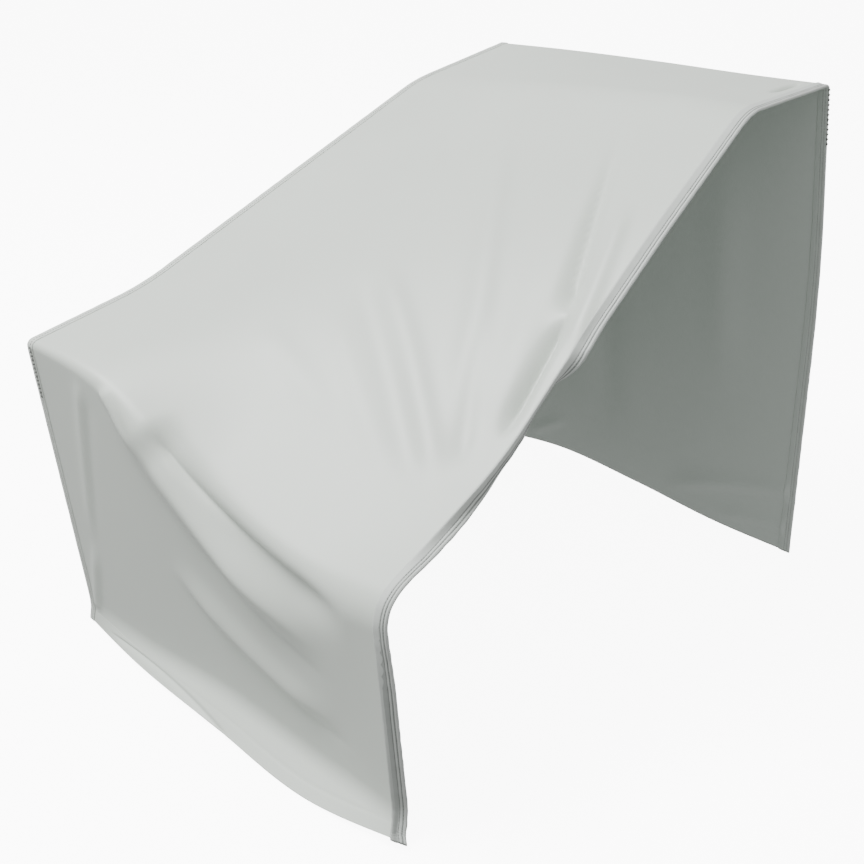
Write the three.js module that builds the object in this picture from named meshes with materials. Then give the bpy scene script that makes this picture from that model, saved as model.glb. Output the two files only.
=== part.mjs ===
// Cover for the left end section of a sectional sofa, draped as it hangs over the seat, arm and back.
// Millimetres, +Z up. X runs across from the closed left side to the open right side, Y from the
// front hem to the back hem, and the origin is on the floor under the middle of the cover.
import * as THREE from 'three';

const CLOTH = 2; // thickness of the coated cloth
const TAPE = 1.2; // thickness of the binding tape
const GAP = 0.3; // air between pieces that are sewn face to face
const SEAM_GAP = 0.8; // air between the main cloth's edge and the side panel
const SEAM_RECESS = 1; // how far the side panel's edge lies under the main cloth's face
const EDGE_TAPE = 20; // width of the folded tape on the open right edge
const SEAM_TAPE = 10; // width of the seam tape on the main cloth
const SEAM_DROP = 6; // width of the seam tape on the side panel
const TAPE_TAIL = 3; // how far the edge tape hangs below the front hem
const HALF_WIDTH = 380; // from the middle to either side edge
const COLUMNS = 28; // equal steps across, from the seam tape to the strip that is turned in

// Profile of the cloth, a row for each section across, from the left side to the right. Each column is
// a corner of the profile as [y, z]: front hem, flare above it, front top edge, foot of the slope,
// middle of the slope, break below the flat top, back top edge, belly of the back, back hem.
const SECTIONS = [
  {
    across: -380, hem: [-545, 3], knee: [-541, 36], edge: [-578, 552], foot: [-370, 601],
    slope: [-40, 730], rise: [298, 860], top: [560, 906], belly: [561, 560], rear: [560, 3],
  },
  {
    across: -215, hem: [-567, 6], knee: [-542, 36], edge: [-577, 542], foot: [-355, 607],
    slope: [-40, 732], rise: [290, 876], top: [556, 910], belly: [563, 560], rear: [583, 13],
  },
  {
    across: 20, hem: [-579, 9], knee: [-534, 46], edge: [-566, 424], foot: [-335, 568],
    slope: [-40, 733], rise: [285, 893], top: [552, 911], belly: [566, 560], rear: [577, 5],
  },
  {
    across: 230, hem: [-580, 3], knee: [-531, 38], edge: [-562, 378], foot: [-320, 526],
    slope: [-30, 734], rise: [280, 905], top: [550, 909], belly: [568, 560], rear: [553, 0],
  },
  {
    across: 380, hem: [-556, 22], knee: [-540, 44], edge: [-549, 391], foot: [-300, 508],
    slope: [-19, 738], rise: [258, 908], top: [548, 910], belly: [570, 560], rear: [545, 2],
  },
];

// Way along the profile, a row for each corner: how far out the two side edges lie there, how softly
// the cloth bends at the left and at the right, the steps in that bend and the steps in the straight run
// that follows it.
const WAY = [
  { corner: 'hem', left: -394, right: 421, soft: [0, 0], bendSteps: 0, runSteps: 3 },
  { corner: 'knee', left: -390, right: 403, soft: [18, 18], bendSteps: 3, runSteps: 16 },
  { corner: 'edge', left: -407, right: 380, soft: [12, 44], bendSteps: 4, runSteps: 6 },
  { corner: 'foot', left: -383, right: 389, soft: [50, 70], bendSteps: 3, runSteps: 7 },
  { corner: 'slope', left: -380, right: 388, soft: [120, 120], bendSteps: 3, runSteps: 4 },
  { corner: 'rise', left: -380, right: 376, soft: [38, 38], bendSteps: 3, runSteps: 4 },
  { corner: 'top', left: -375, right: 358, soft: [12, 12], bendSteps: 3, runSteps: 2 },
  { corner: 'belly', left: -380, right: 384, soft: [150, 150], bendSteps: 3, runSteps: 8 },
  { corner: 'rear', left: -380, right: 414, soft: [0, 0], bendSteps: 0, runSteps: 0 },
];

// Folds as soft ridges (height above 0) and valleys (below 0) along a curve from, via, to. The numbers
// are [x, y] on the top cloth and [x, z] on the upright cloths. left and right are the half widths on
// either side of the curve, seen along it, fadeIn and fadeOut the shares of it where the fold ends, and
// crisp the share of a sharp tent in its soft bell.
const TOP_FOLDS = [
  { name: 'deep trough', from: [163, 245], via: [268, 8], to: [328, -118],
    height: -17, left: 12, right: 16, fadeIn: 0.5, fadeOut: 0.2, crisp: 0.5 },
  { name: 'edge crease', from: [326, -110], via: [339, -200], to: [350, -290],
    height: -17, left: 9, right: 14, fadeIn: 0.25, fadeOut: 0.3, crisp: 0.6 },
  { name: 'slack beside the trough', from: [152, 170], via: [238, 5], to: [322, -240],
    height: -5, left: 30, right: 26, fadeIn: 0.35, fadeOut: 0.25, crisp: 0 },
  { name: 'crest right of the trough', from: [290, 70], via: [332, -38], to: [366, -170],
    height: 6, left: 15, right: 14, fadeIn: 0.3, fadeOut: 0.2, crisp: 0 },
  { name: 'crest left of the trough', from: [150, 180], via: [240, 10], to: [318, -290],
    height: 5, left: 24, right: 30, fadeIn: 0.4, fadeOut: 0.2, crisp: 0 },
  { name: 'long ridge', from: [-60, 190], via: [110, -40], to: [300, -310],
    height: 6, left: 22, right: 26, fadeIn: 0.35, fadeOut: 0.2, crisp: 0 },
  { name: 'valley beside the long ridge', from: [190, -135], via: [262, -250], to: [330, -345],
    height: -3.5, left: 13, right: 13, fadeIn: 0.4, fadeOut: 0.2, crisp: 0 },
  { name: 'seat ridge', from: [-30, -150], via: [131, -245], to: [320, -380],
    height: 5, left: 18, right: 20, fadeIn: 0.3, fadeOut: 0.15, crisp: 0 },
  { name: 'valley before the seat ridge', from: [-63, -175], via: [127, -290], to: [320, -410],
    height: -3, left: 18, right: 18, fadeIn: 0.3, fadeOut: 0.25, crisp: 0 },
  { name: 'low ridge', from: [-56, -238], via: [95, -325], to: [270, -418],
    height: 2, left: 18, right: 18, fadeIn: 0.3, fadeOut: 0.3, crisp: 0 },
  { name: 'second low ridge', from: [-108, -336], via: [5, -362], to: [120, -388],
    height: 2, left: 22, right: 22, fadeIn: 0.3, fadeOut: 0.3, crisp: 0 },
  { name: 'back ridge', from: [-190, 165], via: [-135, 90], to: [-75, 5],
    height: 2, left: 24, right: 24, fadeIn: 0.4, fadeOut: 0.4, crisp: 0 },
];
const FRONT_FOLDS = [
  { name: 'edge valley', from: [-114, 499], via: [62, 394], to: [316, 336],
    height: -23, left: 18, right: 36, fadeIn: 0.16, fadeOut: 0.2, crisp: 0 },
  { name: 'swag start', from: [-207, 532], via: [-160, 483], to: [-112, 438],
    height: 6, left: 7, right: 9, fadeIn: 0.1, fadeOut: 0.5, crisp: 0 },
  { name: 'swag ridge', from: [-202, 528], via: [34, 361], to: [262, 246],
    height: 25, left: 25, right: 32, fadeIn: 0.32, fadeOut: 0.4, crisp: 0.15 },
  { name: 'swag valley', from: [-40, 355], via: [95, 268], to: [290, 205],
    height: -3, left: 9, right: 20, fadeIn: 0.35, fadeOut: 0.3, crisp: 0.3 },
  { name: 'lower ridge', from: [-100, 262], via: [75, 182], to: [290, 130],
    height: 13, left: 32, right: 18, fadeIn: 0.35, fadeOut: 0.25, crisp: 0.1 },
  { name: 'lower valley', from: [120, 150], via: [215, 118], to: [310, 104],
    height: -2, left: 8, right: 10, fadeIn: 0.35, fadeOut: 0.3, crisp: 0 },
  { name: 'arm fold ridge', from: [-262, 530], via: [-298, 370], to: [-335, 170],
    height: 4, left: 8, right: 15, fadeIn: 0.15, fadeOut: 0.3, crisp: 0 },
  { name: 'arm fold valley', from: [-242, 505], via: [-280, 370], to: [-318, 200],
    height: -1, left: 11, right: 12, fadeIn: 0.15, fadeOut: 0.4, crisp: 0 },
  { name: 'corner gather', from: [-325, 205], via: [-350, 115], to: [-374, 30],
    height: 5, left: 9, right: 11, fadeIn: 0.4, fadeOut: 0.1, crisp: 0 },
];
const BACK_FOLDS = [
  { name: 'hem crease', from: [90, 20], via: [232, 86], to: [400, 130],
    height: -8, left: 22, right: 13, fadeIn: 0.35, fadeOut: 0.05, crisp: 0.3 },
  { name: 'lower hem crease', from: [235, 18], via: [318, 40], to: [400, 48],
    height: -5, left: 15, right: 9, fadeIn: 0.3, fadeOut: 0.05, crisp: 0.3 },
  { name: 'corner crease', from: [-278, 28], via: [-228, 60], to: [-172, 92],
    height: -6, left: 14, right: 9, fadeIn: 0.2, fadeOut: 0.35, crisp: 0.3 },
  { name: 'soft back fold', from: [-120, 860], via: [-100, 500], to: [-60, 60],
    height: 7, left: 40, right: 40, fadeIn: 0.4, fadeOut: 0.2, crisp: 0 },
  { name: 'second soft back fold', from: [170, 840], via: [190, 520], to: [230, 240],
    height: -6, left: 40, right: 40, fadeIn: 0.4, fadeOut: 0.4, crisp: 0 },
];
// Folds of the left side panel, with [y, z] along its face.
const SIDE_FOLDS = [
  { name: 'arm drop fold', from: [-500, 540], via: [-455, 300], to: [-420, 40],
    height: 9, left: 26, right: 26, fadeIn: 0.25, fadeOut: 0.1, crisp: 0 },
  { name: 'middle drag fold', from: [-300, 590], via: [-130, 320], to: [-60, 40],
    height: -8, left: 34, right: 34, fadeIn: 0.3, fadeOut: 0.2, crisp: 0 },
  { name: 'back drop fold', from: [330, 840], via: [300, 420], to: [330, 30],
    height: 8, left: 36, right: 36, fadeIn: 0.3, fadeOut: 0.1, crisp: 0 },
];
// How the strip along the open right edge is turned in: way along the profile, degrees of its inner half
// and degrees of its outer half.
const TURNS = [
  [0, 55, 30], [0.35, 78, 30], [1.5, 74, 26], [1.72, 12, 8], [2.3, 4, 0],
  [2.5, 50, 5], [2.75, 92, 50], [2.95, 96, 90], [3.17, 98, 95], [3.3, 108, 118],
  [3.46, 108, 118], [3.61, 35, 5], [4.3, 30, 5], [5, 18, 5], [6, 10, 0],
  [8, 10, 0],
];
const TURN_INSET = 24; // how far in from the edge the strip begins to turn
const TURN_MIDDLE = 12; // how far in from the edge its outer half begins
const STRIP_INSETS = [EDGE_TAPE, TURN_MIDDLE, 0]; // places of the strip's own columns, in from the edge
const TOP_START = [2.05, 2.4]; // way along the profile over which the top folds come in
const TOP_END = [5.4, 5.8]; // way over which the top folds die out before the back edge
const FRONT_END = [2.2, 2.5]; // way over which the front folds die out past the front edge
const BACK_START = [6.3, 6.7]; // way over which the back folds come in below the back edge
const BEND_WAY = 0.25; // way that a bend takes up on either side of its corner
const SIDE_ROWS = 12; // steps from hem to top on the side panel
const SIDE_CALM = 70; // how far from its seam the side panel's folds reach full height
const FOLD_STEPS = 24; // pieces of a fold's curve when distances are measured
const TENT_FALL = 1.6; // how fast a crisp fold falls off beside its line

const CLOTH_LOOK = { color: 0xcfd1ce, roughness: 0.55, metalness: 0 }; // pale grey coated cloth
const TAPE_LOOK = { color: 0xc3c6c3, roughness: 0.5, metalness: 0 }; // slightly darker tape

// Smooth step from 0 at low to 1 at high.
const fade = (low, high, value) => THREE.MathUtils.smoothstep(value, low, high);

// Smooth curve through the rows of SECTIONS, for one coordinate of one corner, at a place across.
function sectionValue(corner, axis, across) {
  const knots = SECTIONS.map((row) => row.across);
  const values = SECTIONS.map((row) => row[corner][axis]);
  const last = knots.length - 1;
  const step = (i) => knots[i + 1] - knots[i];
  const rise = (i) => (values[i + 1] - values[i]) / step(i);
  const inner = (i) => (rise(i - 1) * step(i) + rise(i) * step(i - 1)) / (step(i) + step(i - 1));
  const tangent = (i) => {
    if (i === 0) return 1.5 * rise(0) - 0.5 * inner(1);
    if (i === last) return 1.5 * rise(last - 1) - 0.5 * inner(last - 1);
    return inner(i);
  };
  let i = 0;
  while (i < last - 1 && across > knots[i + 1]) i += 1;
  const t = (across - knots[i]) / step(i);
  const s = 1 - t;
  return (1 + 2 * t) * s * s * values[i] + t * s * s * step(i) * tangent(i)
    + t * t * (3 - 2 * t) * values[i + 1] - t * t * s * step(i) * tangent(i + 1);
}

// Corners of the profile at a place across, with the side edges drawn out as WAY says.
function profileCorners(across) {
  const share = (across + HALF_WIDTH) / (2 * HALF_WIDTH);
  return WAY.map((row) => {
    const x = across + (row.left + HALF_WIDTH) * (1 - share) ** 3 + (row.right - HALF_WIDTH) * share ** 3;
    return new THREE.Vector3(x, sectionValue(row.corner, 0, across), sectionValue(row.corner, 1, across));
  });
}

// Points of one profile: straight runs joined by soft bends. way is the corner's number, plus the
// share of the stretch to the next corner.
function profilePoints(across) {
  const corners = profileCorners(across);
  const softs = WAY.map((row) => THREE.MathUtils.mapLinear(across, -HALF_WIDTH, HALF_WIDTH, ...row.soft));
  const points = [];
  const towards = (i, j, distance) => {
    const direction = corners[j].clone().sub(corners[i]).normalize();
    return corners[i].clone().addScaledVector(direction, distance);
  };
  for (let i = 0; i < WAY.length - 1; i += 1) {
    const start = towards(i, i + 1, softs[i]);
    const end = towards(i + 1, i, softs[i + 1]);
    const first = i === 0 ? i : i + BEND_WAY;
    const final = i === WAY.length - 2 ? i + 1 : i + 1 - BEND_WAY;
    for (let k = 0; k < WAY[i].runSteps; k += 1) {
      const t = k / WAY[i].runSteps;
      points.push({ at: start.clone().lerp(end, t), way: first + (final - first) * t });
    }
    if (i === WAY.length - 2) {
      points.push({ at: end, way: final });
      break;
    }
    const after = towards(i + 1, i + 2, softs[i + 1]);
    const bend = new THREE.QuadraticBezierCurve3(end, corners[i + 1], after);
    for (let k = 0; k < WAY[i + 1].bendSteps; k += 1) {
      const t = k / WAY[i + 1].bendSteps;
      points.push({ at: bend.getPoint(t), way: final + 2 * BEND_WAY * t });
    }
  }
  return points;
}

// Curve of a fold through its three points.
function foldCurve(fold) {
  const [a, b, c] = [fold.from, fold.via, fold.to].map((p) => new THREE.Vector2(...p));
  const handle = b.clone().multiplyScalar(2).sub(a.clone().add(c).multiplyScalar(0.5));
  return new THREE.QuadraticBezierCurve(a, handle, c).getPoints(FOLD_STEPS);
}

// Height of one fold at a place: a bell mixed with a tent across the curve, faded out at both ends.
function foldHeight(fold, curve, place) {
  let nearest = { distance: Infinity, share: 0, side: 1 };
  for (let i = 0; i < FOLD_STEPS; i += 1) {
    const run = curve[i + 1].clone().sub(curve[i]);
    const offset = place.clone().sub(curve[i]);
    const t = THREE.MathUtils.clamp(offset.dot(run) / run.lengthSq(), 0, 1);
    const distance = offset.distanceTo(run.clone().multiplyScalar(t));
    if (distance < nearest.distance) {
      nearest = { distance, share: (i + t) / FOLD_STEPS, side: run.cross(offset) };
    }
  }
  const width = nearest.side > 0 ? fold.left : fold.right;
  const ends = fade(0, fold.fadeIn, nearest.share) * fade(0, fold.fadeOut, 1 - nearest.share);
  const bell = Math.exp(-((nearest.distance / width) ** 2));
  const tent = Math.exp((-TENT_FALL * nearest.distance) / width);
  return fold.height * ends * (bell + (tent - bell) * fold.crisp);
}

// Sum of a table of folds at a place.
function foldSum(folds, x, y) {
  const place = new THREE.Vector2(x, y);
  return folds.reduce((sum, fold) => sum + foldHeight(fold, fold.curve, place), 0);
}
for (const fold of [...TOP_FOLDS, ...FRONT_FOLDS, ...BACK_FOLDS, ...SIDE_FOLDS]) {
  fold.curve = foldCurve(fold);
}

// Height of all folds of the main cloth at one of its points.
function mainFolds({ at, way }) {
  const top = fade(...TOP_START, way) * (1 - fade(...TOP_END, way));
  const front = 1 - fade(...FRONT_END, way);
  const back = fade(...BACK_START, way);
  return (top > 0 ? top * foldSum(TOP_FOLDS, at.x, at.y) : 0)
    + (front > 0 ? front * foldSum(FRONT_FOLDS, at.x, at.z) : 0)
    + (back > 0 ? back * foldSum(BACK_FOLDS, at.x, at.z) : 0);
}

// Normals of a grid of points: columns crossed with rows, pointing out of the cloth's good side.
function gridNormals(grid) {
  const clampedStep = (list, i) => [list[Math.max(i - 1, 0)], list[Math.min(i + 1, list.length - 1)]];
  return grid.map((column, i) => column.map((point, j) => {
    const [left, right] = clampedStep(grid, i);
    const [before, after] = clampedStep(column, j);
    const across = right[j].clone().sub(left[j]);
    return across.cross(after.clone().sub(before)).normalize();
  }));
}

// Grid moved along its normals, by one distance or by a function of the point's numbers.
function offsetGrid(grid, normals, distance) {
  const by = typeof distance === 'function' ? distance : () => distance;
  return grid.map((column, i) => column.map((p, j) => p.clone().addScaledVector(normals[i][j], by(i, j))));
}

// Closed geometry from lists of corners and of triangles, with its faces turned outwards.
function closedGeometry(points, triangles) {
  const corners = (i) => triangles.slice(i, i + 3).map((k) => points[k]);
  let volume = 0;
  for (let i = 0; i < triangles.length; i += 3) {
    const [a, b, c] = corners(i);
    volume += a.dot(b.clone().cross(c)) / 6;
  }
  const geometry = new THREE.BufferGeometry();
  geometry.setAttribute('position', new THREE.Float32BufferAttribute(points.flatMap((p) => p.toArray()), 3));
  geometry.setIndex(volume > 0 ? triangles : triangles.reverse());
  geometry.computeVertexNormals();
  return geometry;
}

// Thin shell between two grids of the same size, closed round its rim.
function shellGeometry(outer, inner) {
  const columns = outer.length;
  const rows = outer[0].length;
  const points = [...outer.flat(), ...inner.flat()];
  const face = (layer, i, j) => layer * columns * rows + i * rows + j;
  const triangles = [];
  const quad = (a, b, c, d) => triangles.push(a, b, c, a, c, d);
  for (let i = 0; i < columns - 1; i += 1) {
    for (let j = 0; j < rows - 1; j += 1) {
      const [a, b, c, d] = [[i, j], [i + 1, j], [i + 1, j + 1], [i, j + 1]].map(([m, n]) => face(0, m, n));
      const below = columns * rows;
      quad(b, c, d, a);
      quad(b + below, a + below, d + below, c + below);
    }
    quad(face(0, i, 0), face(1, i, 0), face(1, i + 1, 0), face(0, i + 1, 0));
    quad(face(0, i, rows - 1), face(0, i + 1, rows - 1), face(1, i + 1, rows - 1), face(1, i, rows - 1));
  }
  for (let j = 0; j < rows - 1; j += 1) {
    quad(face(0, 0, j), face(0, 0, j + 1), face(1, 0, j + 1), face(1, 0, j));
    const end = columns - 1;
    quad(face(0, end, j), face(1, end, j), face(1, end, j + 1), face(0, end, j + 1));
  }
  return closedGeometry(points, triangles);
}

// Solid swept through a list of rings, each with the same corners as the flat anticlockwise outline.
// Its squares are cut in two along the same diagonal as the cloth's, so that both stay parallel.
function sweptGeometry(rings, outline, side) {
  const size = outline.length;
  const triangles = [];
  for (let j = 0; j < rings.length - 1; j += 1) {
    for (let k = 0; k < size; k += 1) {
      const next = (k + 1) % size;
      const [a, b] = [j * size + k, j * size + next];
      const outward = outline[next].x > outline[k].x;
      if (outward === (side === 'left')) triangles.push(a, b, b + size, a, b + size, a + size);
      else triangles.push(a, b, a + size, b, b + size, a + size);
    }
  }
  const far = (rings.length - 1) * size;
  for (const flat of THREE.ShapeUtils.triangulateShape(outline, [])) {
    const clockwise = THREE.ShapeUtils.isClockWise(flat.map((k) => outline[k]));
    const [a, b, c] = clockwise ? [...flat].reverse() : flat;
    triangles.push(a, c, b, far + a, far + b, far + c);
  }
  return closedGeometry(rings.flat(), triangles);
}

// Degrees of a column of TURNS at a way along the profile.
function turnAt(way, column) {
  const next = Math.max(TURNS.findIndex((row) => row[0] >= way), 1);
  const [before, after] = [TURNS[next - 1], TURNS[next]];
  return THREE.MathUtils.mapLinear(way, before[0], after[0], before[column], after[column]);
}

// The last columns with the strip turned in: it bends by half of its inner angle at the column before
// the tape and by the rest at the tape's inner edge, and its outer half swings about its middle.
function turnStrip(grid, normals, ways) {
  const hinge = grid.length - 1 - STRIP_INSETS.length;
  ways.forEach((way, j) => {
    const up = normals[hinge][j];
    const out = grid[hinge + 1][j].clone().sub(grid[hinge - 1][j]).projectOnPlane(up).normalize();
    const flat = grid.slice(hinge).map((column) => column[j].clone());
    const [inner, outer] = [turnAt(way, 1), turnAt(way, 2)];
    [0.5 * inner, inner, outer].forEach((degrees, k) => {
      const angle = THREE.MathUtils.degToRad(degrees);
      const step = flat[k + 1].clone().sub(flat[k]);
      const [a, c] = [step.dot(out), step.dot(up)];
      grid[hinge + k + 1][j].copy(grid[hinge + k][j]).add(step)
        .addScaledVector(out, a * (Math.cos(angle) - 1) + c * Math.sin(angle))
        .addScaledVector(up, c * (Math.cos(angle) - 1) - a * Math.sin(angle));
    });
  });
}

// Outer face of the main cloth as columns of points, with its folds, and the normals of that face.
function mainCloth() {
  const inside = 2 * HALF_WIDTH - SEAM_TAPE - TURN_INSET;
  const step = inside / COLUMNS;
  const columns = Array.from({ length: COLUMNS + 1 }, (_, i) => SEAM_TAPE - HALF_WIDTH + i * step);
  const strip = STRIP_INSETS.map((inset) => HALF_WIDTH - inset);
  const profiles = [-HALF_WIDTH, ...columns, ...strip].map(profilePoints);
  const plain = profiles.map((profile) => profile.map((point) => point.at));
  const grid = offsetGrid(plain, gridNormals(plain), (i, j) => mainFolds(profiles[i][j]));
  const ways = profiles[0].map((point) => point.way);
  turnStrip(grid, gridNormals(grid), ways);
  return { grid, normals: gridNormals(grid), ways };
}

// Side panel's outer face, blended from its four edges: the main cloth's left edge and the hem line.
function sideCloth(cloth) {
  const edge = cloth.grid[0].map((p, j) => {
    const recessed = p.clone().addScaledVector(cloth.normals[0][j], -SEAM_RECESS);
    return recessed.setX(p.x - SEAM_GAP - CLOTH);
  });
  const bend = (number) => cloth.ways.findIndex((way) => way >= number - 1e-6);
  const [frontTop, backTop] = [bend(2), bend(6)];
  const front = edge.slice(0, frontTop + 1);
  const top = edge.slice(frontTop, backTop + 1);
  const back = edge.slice(backTop).reverse();
  const along = (line, share) => {
    const place = share * (line.length - 1);
    const i = Math.min(Math.floor(place), line.length - 2);
    return line[i].clone().lerp(line[i + 1], place - i);
  };
  const columns = top.length - 1;
  const lengths = top.map((p) => (p.y - top[0].y) / (top[columns].y - top[0].y));
  const grid = top.map((topPoint, i) => Array.from({ length: SIDE_ROWS + 1 }, (_, j) => {
    const u = lengths[i];
    const v = j / SIDE_ROWS;
    const hem = front[0].clone().lerp(back[0], u);
    const corners = front[0].clone().multiplyScalar((1 - u) * (1 - v))
      .addScaledVector(back[0], u * (1 - v))
      .addScaledVector(top[0], (1 - u) * v)
      .addScaledVector(top[columns], u * v);
    return hem.multiplyScalar(1 - v).addScaledVector(topPoint, v)
      .addScaledVector(along(front, v), 1 - u).addScaledVector(along(back, v), u).sub(corners);
  }));
  const fromBack = grid.reverse();
  return offsetGrid(fromBack, gridNormals(fromBack), (i, j) => {
    const p = fromBack[i][j];
    const [fromFront, fromRear] = [p.y - fromBack[columns][j].y, fromBack[0][j].y - p.y];
    const rim = Math.min(fromFront, fromRear, fromBack[i][SIDE_ROWS].z - p.z);
    return fade(SEAM_DROP, SIDE_CALM, rim) * foldSum(SIDE_FOLDS, p.y, p.z);
  });
}

// Rings of a tape's section along one side edge of the main cloth, one for each station. The outline
// is in [out, up]: out runs from the cloth's edge away from the cloth, and up along its normal. Points
// over the cloth follow its columns at the insets of stops, and beyond reads the others.
function tapeRings(cloth, outline, stops, beyond) {
  const [[, e], [, n]] = stops;
  return cloth.grid[e].map((edge, j) => outline.map(({ x, y }) => {
    if (x > 0) {
      const { out, up } = beyond(edge.clone().sub(cloth.grid[n][j]).normalize(), cloth.normals[e][j]);
      return edge.clone().addScaledVector(out, x).addScaledVector(up, y);
    }
    const k = Math.max(stops.findIndex(([inset]) => inset >= -x), 1);
    const [[near, a], [far, b]] = [stops[k - 1], stops[k]];
    const t = (-x - near) / (far - near);
    const normal = cloth.normals[a][j].clone().lerp(cloth.normals[b][j], t).normalize();
    return cloth.grid[a][j].clone().lerp(cloth.grid[b][j], t).addScaledVector(normal, y);
  }));
}

function mainPanel(cloth) {
  return shellGeometry(cloth.grid, offsetGrid(cloth.grid, cloth.normals, -CLOTH));
}

function leftSidePanel(cloth) {
  const face = sideCloth(cloth);
  return shellGeometry(face, offsetGrid(face, gridNormals(face), -CLOTH));
}

// Tape folded in half over the open right edge, with the cloth's edge inside it.
function rightEdgeBinding(cloth) {
  const upper = GAP + TAPE;
  const lower = -CLOTH - GAP - TAPE;
  const outline = [
    [-EDGE_TAPE, GAP], [-TURN_MIDDLE, GAP], [GAP, GAP], [GAP, lower + TAPE],
    [-TURN_MIDDLE, lower + TAPE], [-EDGE_TAPE, lower + TAPE], [-EDGE_TAPE, lower], [-TURN_MIDDLE, lower],
    [0.5 * TAPE, lower], [GAP + TAPE, lower + TAPE], [GAP + TAPE, upper - TAPE], [0.5 * TAPE, upper],
    [-TURN_MIDDLE, upper], [-EDGE_TAPE, upper],
  ].map(([out, up]) => new THREE.Vector2(out, up));
  const last = cloth.grid.length - 1;
  const stops = [[0, last], [TURN_MIDDLE, last - 1], [EDGE_TAPE, last - 2]];
  const rings = tapeRings(cloth, outline, stops, (out, up) => ({ out, up }));
  const down = cloth.grid[last][0].clone().sub(cloth.grid[last][1]).setLength(TAPE_TAIL);
  rings.unshift(rings[0].map((point) => point.clone().add(down)));
  return sweptGeometry(rings, outline, 'right');
}

// Tape turned over the seam between the main cloth and the left side panel.
function leftSeamBinding(cloth) {
  const face = SEAM_GAP + CLOTH + SEAM_GAP;
  const outline = [
    [-SEAM_TAPE, GAP], [0, GAP], [face, GAP], [face, -SEAM_DROP], [face + TAPE, -SEAM_DROP],
    [face + TAPE, GAP + 0.5 * TAPE], [face + 0.5 * TAPE, GAP + TAPE], [0, GAP + TAPE],
    [-SEAM_TAPE, GAP + TAPE],
  ].map(([out, up]) => new THREE.Vector2(out, up));
  const squared = (_, up) => ({
    out: new THREE.Vector3(-1, 0, 0),
    up: new THREE.Vector3(0, up.y, up.z).normalize(),
  });
  return sweptGeometry(tapeRings(cloth, outline, [[0, 0], [SEAM_TAPE, 1]], squared), outline, 'left');
}

function addPiece(group, name, geometry, look) {
  const mesh = new THREE.Mesh(geometry, new THREE.MeshStandardMaterial(look));
  mesh.name = name;
  group.add(mesh);
}

const cover = new THREE.Group();
const cloth = mainCloth();
addPiece(cover, 'main_panel', mainPanel(cloth), CLOTH_LOOK);
addPiece(cover, 'left_side_panel', leftSidePanel(cloth), CLOTH_LOOK);
addPiece(cover, 'right_edge_binding', rightEdgeBinding(cloth), TAPE_LOOK);
addPiece(cover, 'left_seam_binding', leftSeamBinding(cloth), TAPE_LOOK);
export default cover;
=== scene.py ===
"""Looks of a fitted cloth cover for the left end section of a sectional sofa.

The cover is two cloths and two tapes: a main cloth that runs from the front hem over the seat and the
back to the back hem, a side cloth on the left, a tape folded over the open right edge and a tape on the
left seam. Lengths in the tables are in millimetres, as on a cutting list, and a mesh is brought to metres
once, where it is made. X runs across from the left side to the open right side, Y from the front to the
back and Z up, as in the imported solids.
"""

import logging
import math
from dataclasses import dataclass, field
from enum import Enum

import bpy
import numpy as np
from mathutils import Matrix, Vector


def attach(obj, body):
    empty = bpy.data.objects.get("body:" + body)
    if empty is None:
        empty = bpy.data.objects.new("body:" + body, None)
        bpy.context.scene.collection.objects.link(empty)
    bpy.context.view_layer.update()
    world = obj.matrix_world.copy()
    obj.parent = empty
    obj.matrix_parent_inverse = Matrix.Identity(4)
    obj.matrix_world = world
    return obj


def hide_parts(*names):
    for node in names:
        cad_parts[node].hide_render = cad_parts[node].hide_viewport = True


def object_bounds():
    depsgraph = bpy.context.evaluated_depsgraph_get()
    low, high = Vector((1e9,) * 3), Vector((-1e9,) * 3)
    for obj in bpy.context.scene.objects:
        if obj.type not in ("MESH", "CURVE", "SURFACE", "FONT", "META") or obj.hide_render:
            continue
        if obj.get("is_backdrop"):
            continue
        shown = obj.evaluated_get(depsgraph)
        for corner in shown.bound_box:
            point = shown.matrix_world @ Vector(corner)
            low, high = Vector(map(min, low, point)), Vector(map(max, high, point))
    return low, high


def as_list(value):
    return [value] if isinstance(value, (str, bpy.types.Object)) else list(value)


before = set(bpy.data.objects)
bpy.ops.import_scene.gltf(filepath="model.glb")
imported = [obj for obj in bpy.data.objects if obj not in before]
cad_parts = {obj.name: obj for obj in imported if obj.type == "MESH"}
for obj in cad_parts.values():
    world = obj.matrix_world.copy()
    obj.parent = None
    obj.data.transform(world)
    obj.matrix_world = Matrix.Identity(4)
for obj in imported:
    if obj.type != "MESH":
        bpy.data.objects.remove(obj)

log = logging.getLogger("sofa_cover")

MM = 0.001  # metres in a millimetre
UV_MAP = "cloth"  # name of the map of flat coordinates
BUMP = 0.6  # strength of every fine relief

CLOTH = 2.0  # thickness of the coated cloth
TAPE = 1.2  # thickness of the binding tape
RAW_EDGE = 0.35  # share of its thickness that the tape keeps at a raw edge
GROOVE_DIP = 0.45  # depth of a groove along the tape
GROOVE_WIDTH = 1.0  # half the width of a groove
PUCKER_STEP = 5.5  # length that a row of the grid counts for in the waves of the tape's puckers
PUCKERS = ((7.1, 5.0, 0.0), (17.3, 0.0, 1.3), (4.3, -4.0, 0.0))  # length, lean and start of each wave
FINE_PUCKER = 0.6  # share of the third, finest wave
THREAD_SEAT = 0.75  # share of the tape's thickness at which its stitches lie
GAP = 0.3  # air between pieces sewn face to face
SEAM_GAP = 0.8  # air between the main cloth's edge and the side cloth
SEAM_RECESS = 1.0  # how far the side cloth's edge lies under the main cloth's face
EDGE_TAPE = 20.0  # width of each face of the tape folded over the right edge
SEAM_TAPE = 10.0  # width of the seam tape on the main cloth
SEAM_DROP = 6.0  # width of the seam tape on the side cloth
TAPE_TAIL = 3.0  # how far the edge tape hangs below the front hem
HALF_WIDTH = 380.0  # from the middle to either side edge
BEND_WAY = 0.25  # way that a bend takes up on either side of its corner
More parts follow.
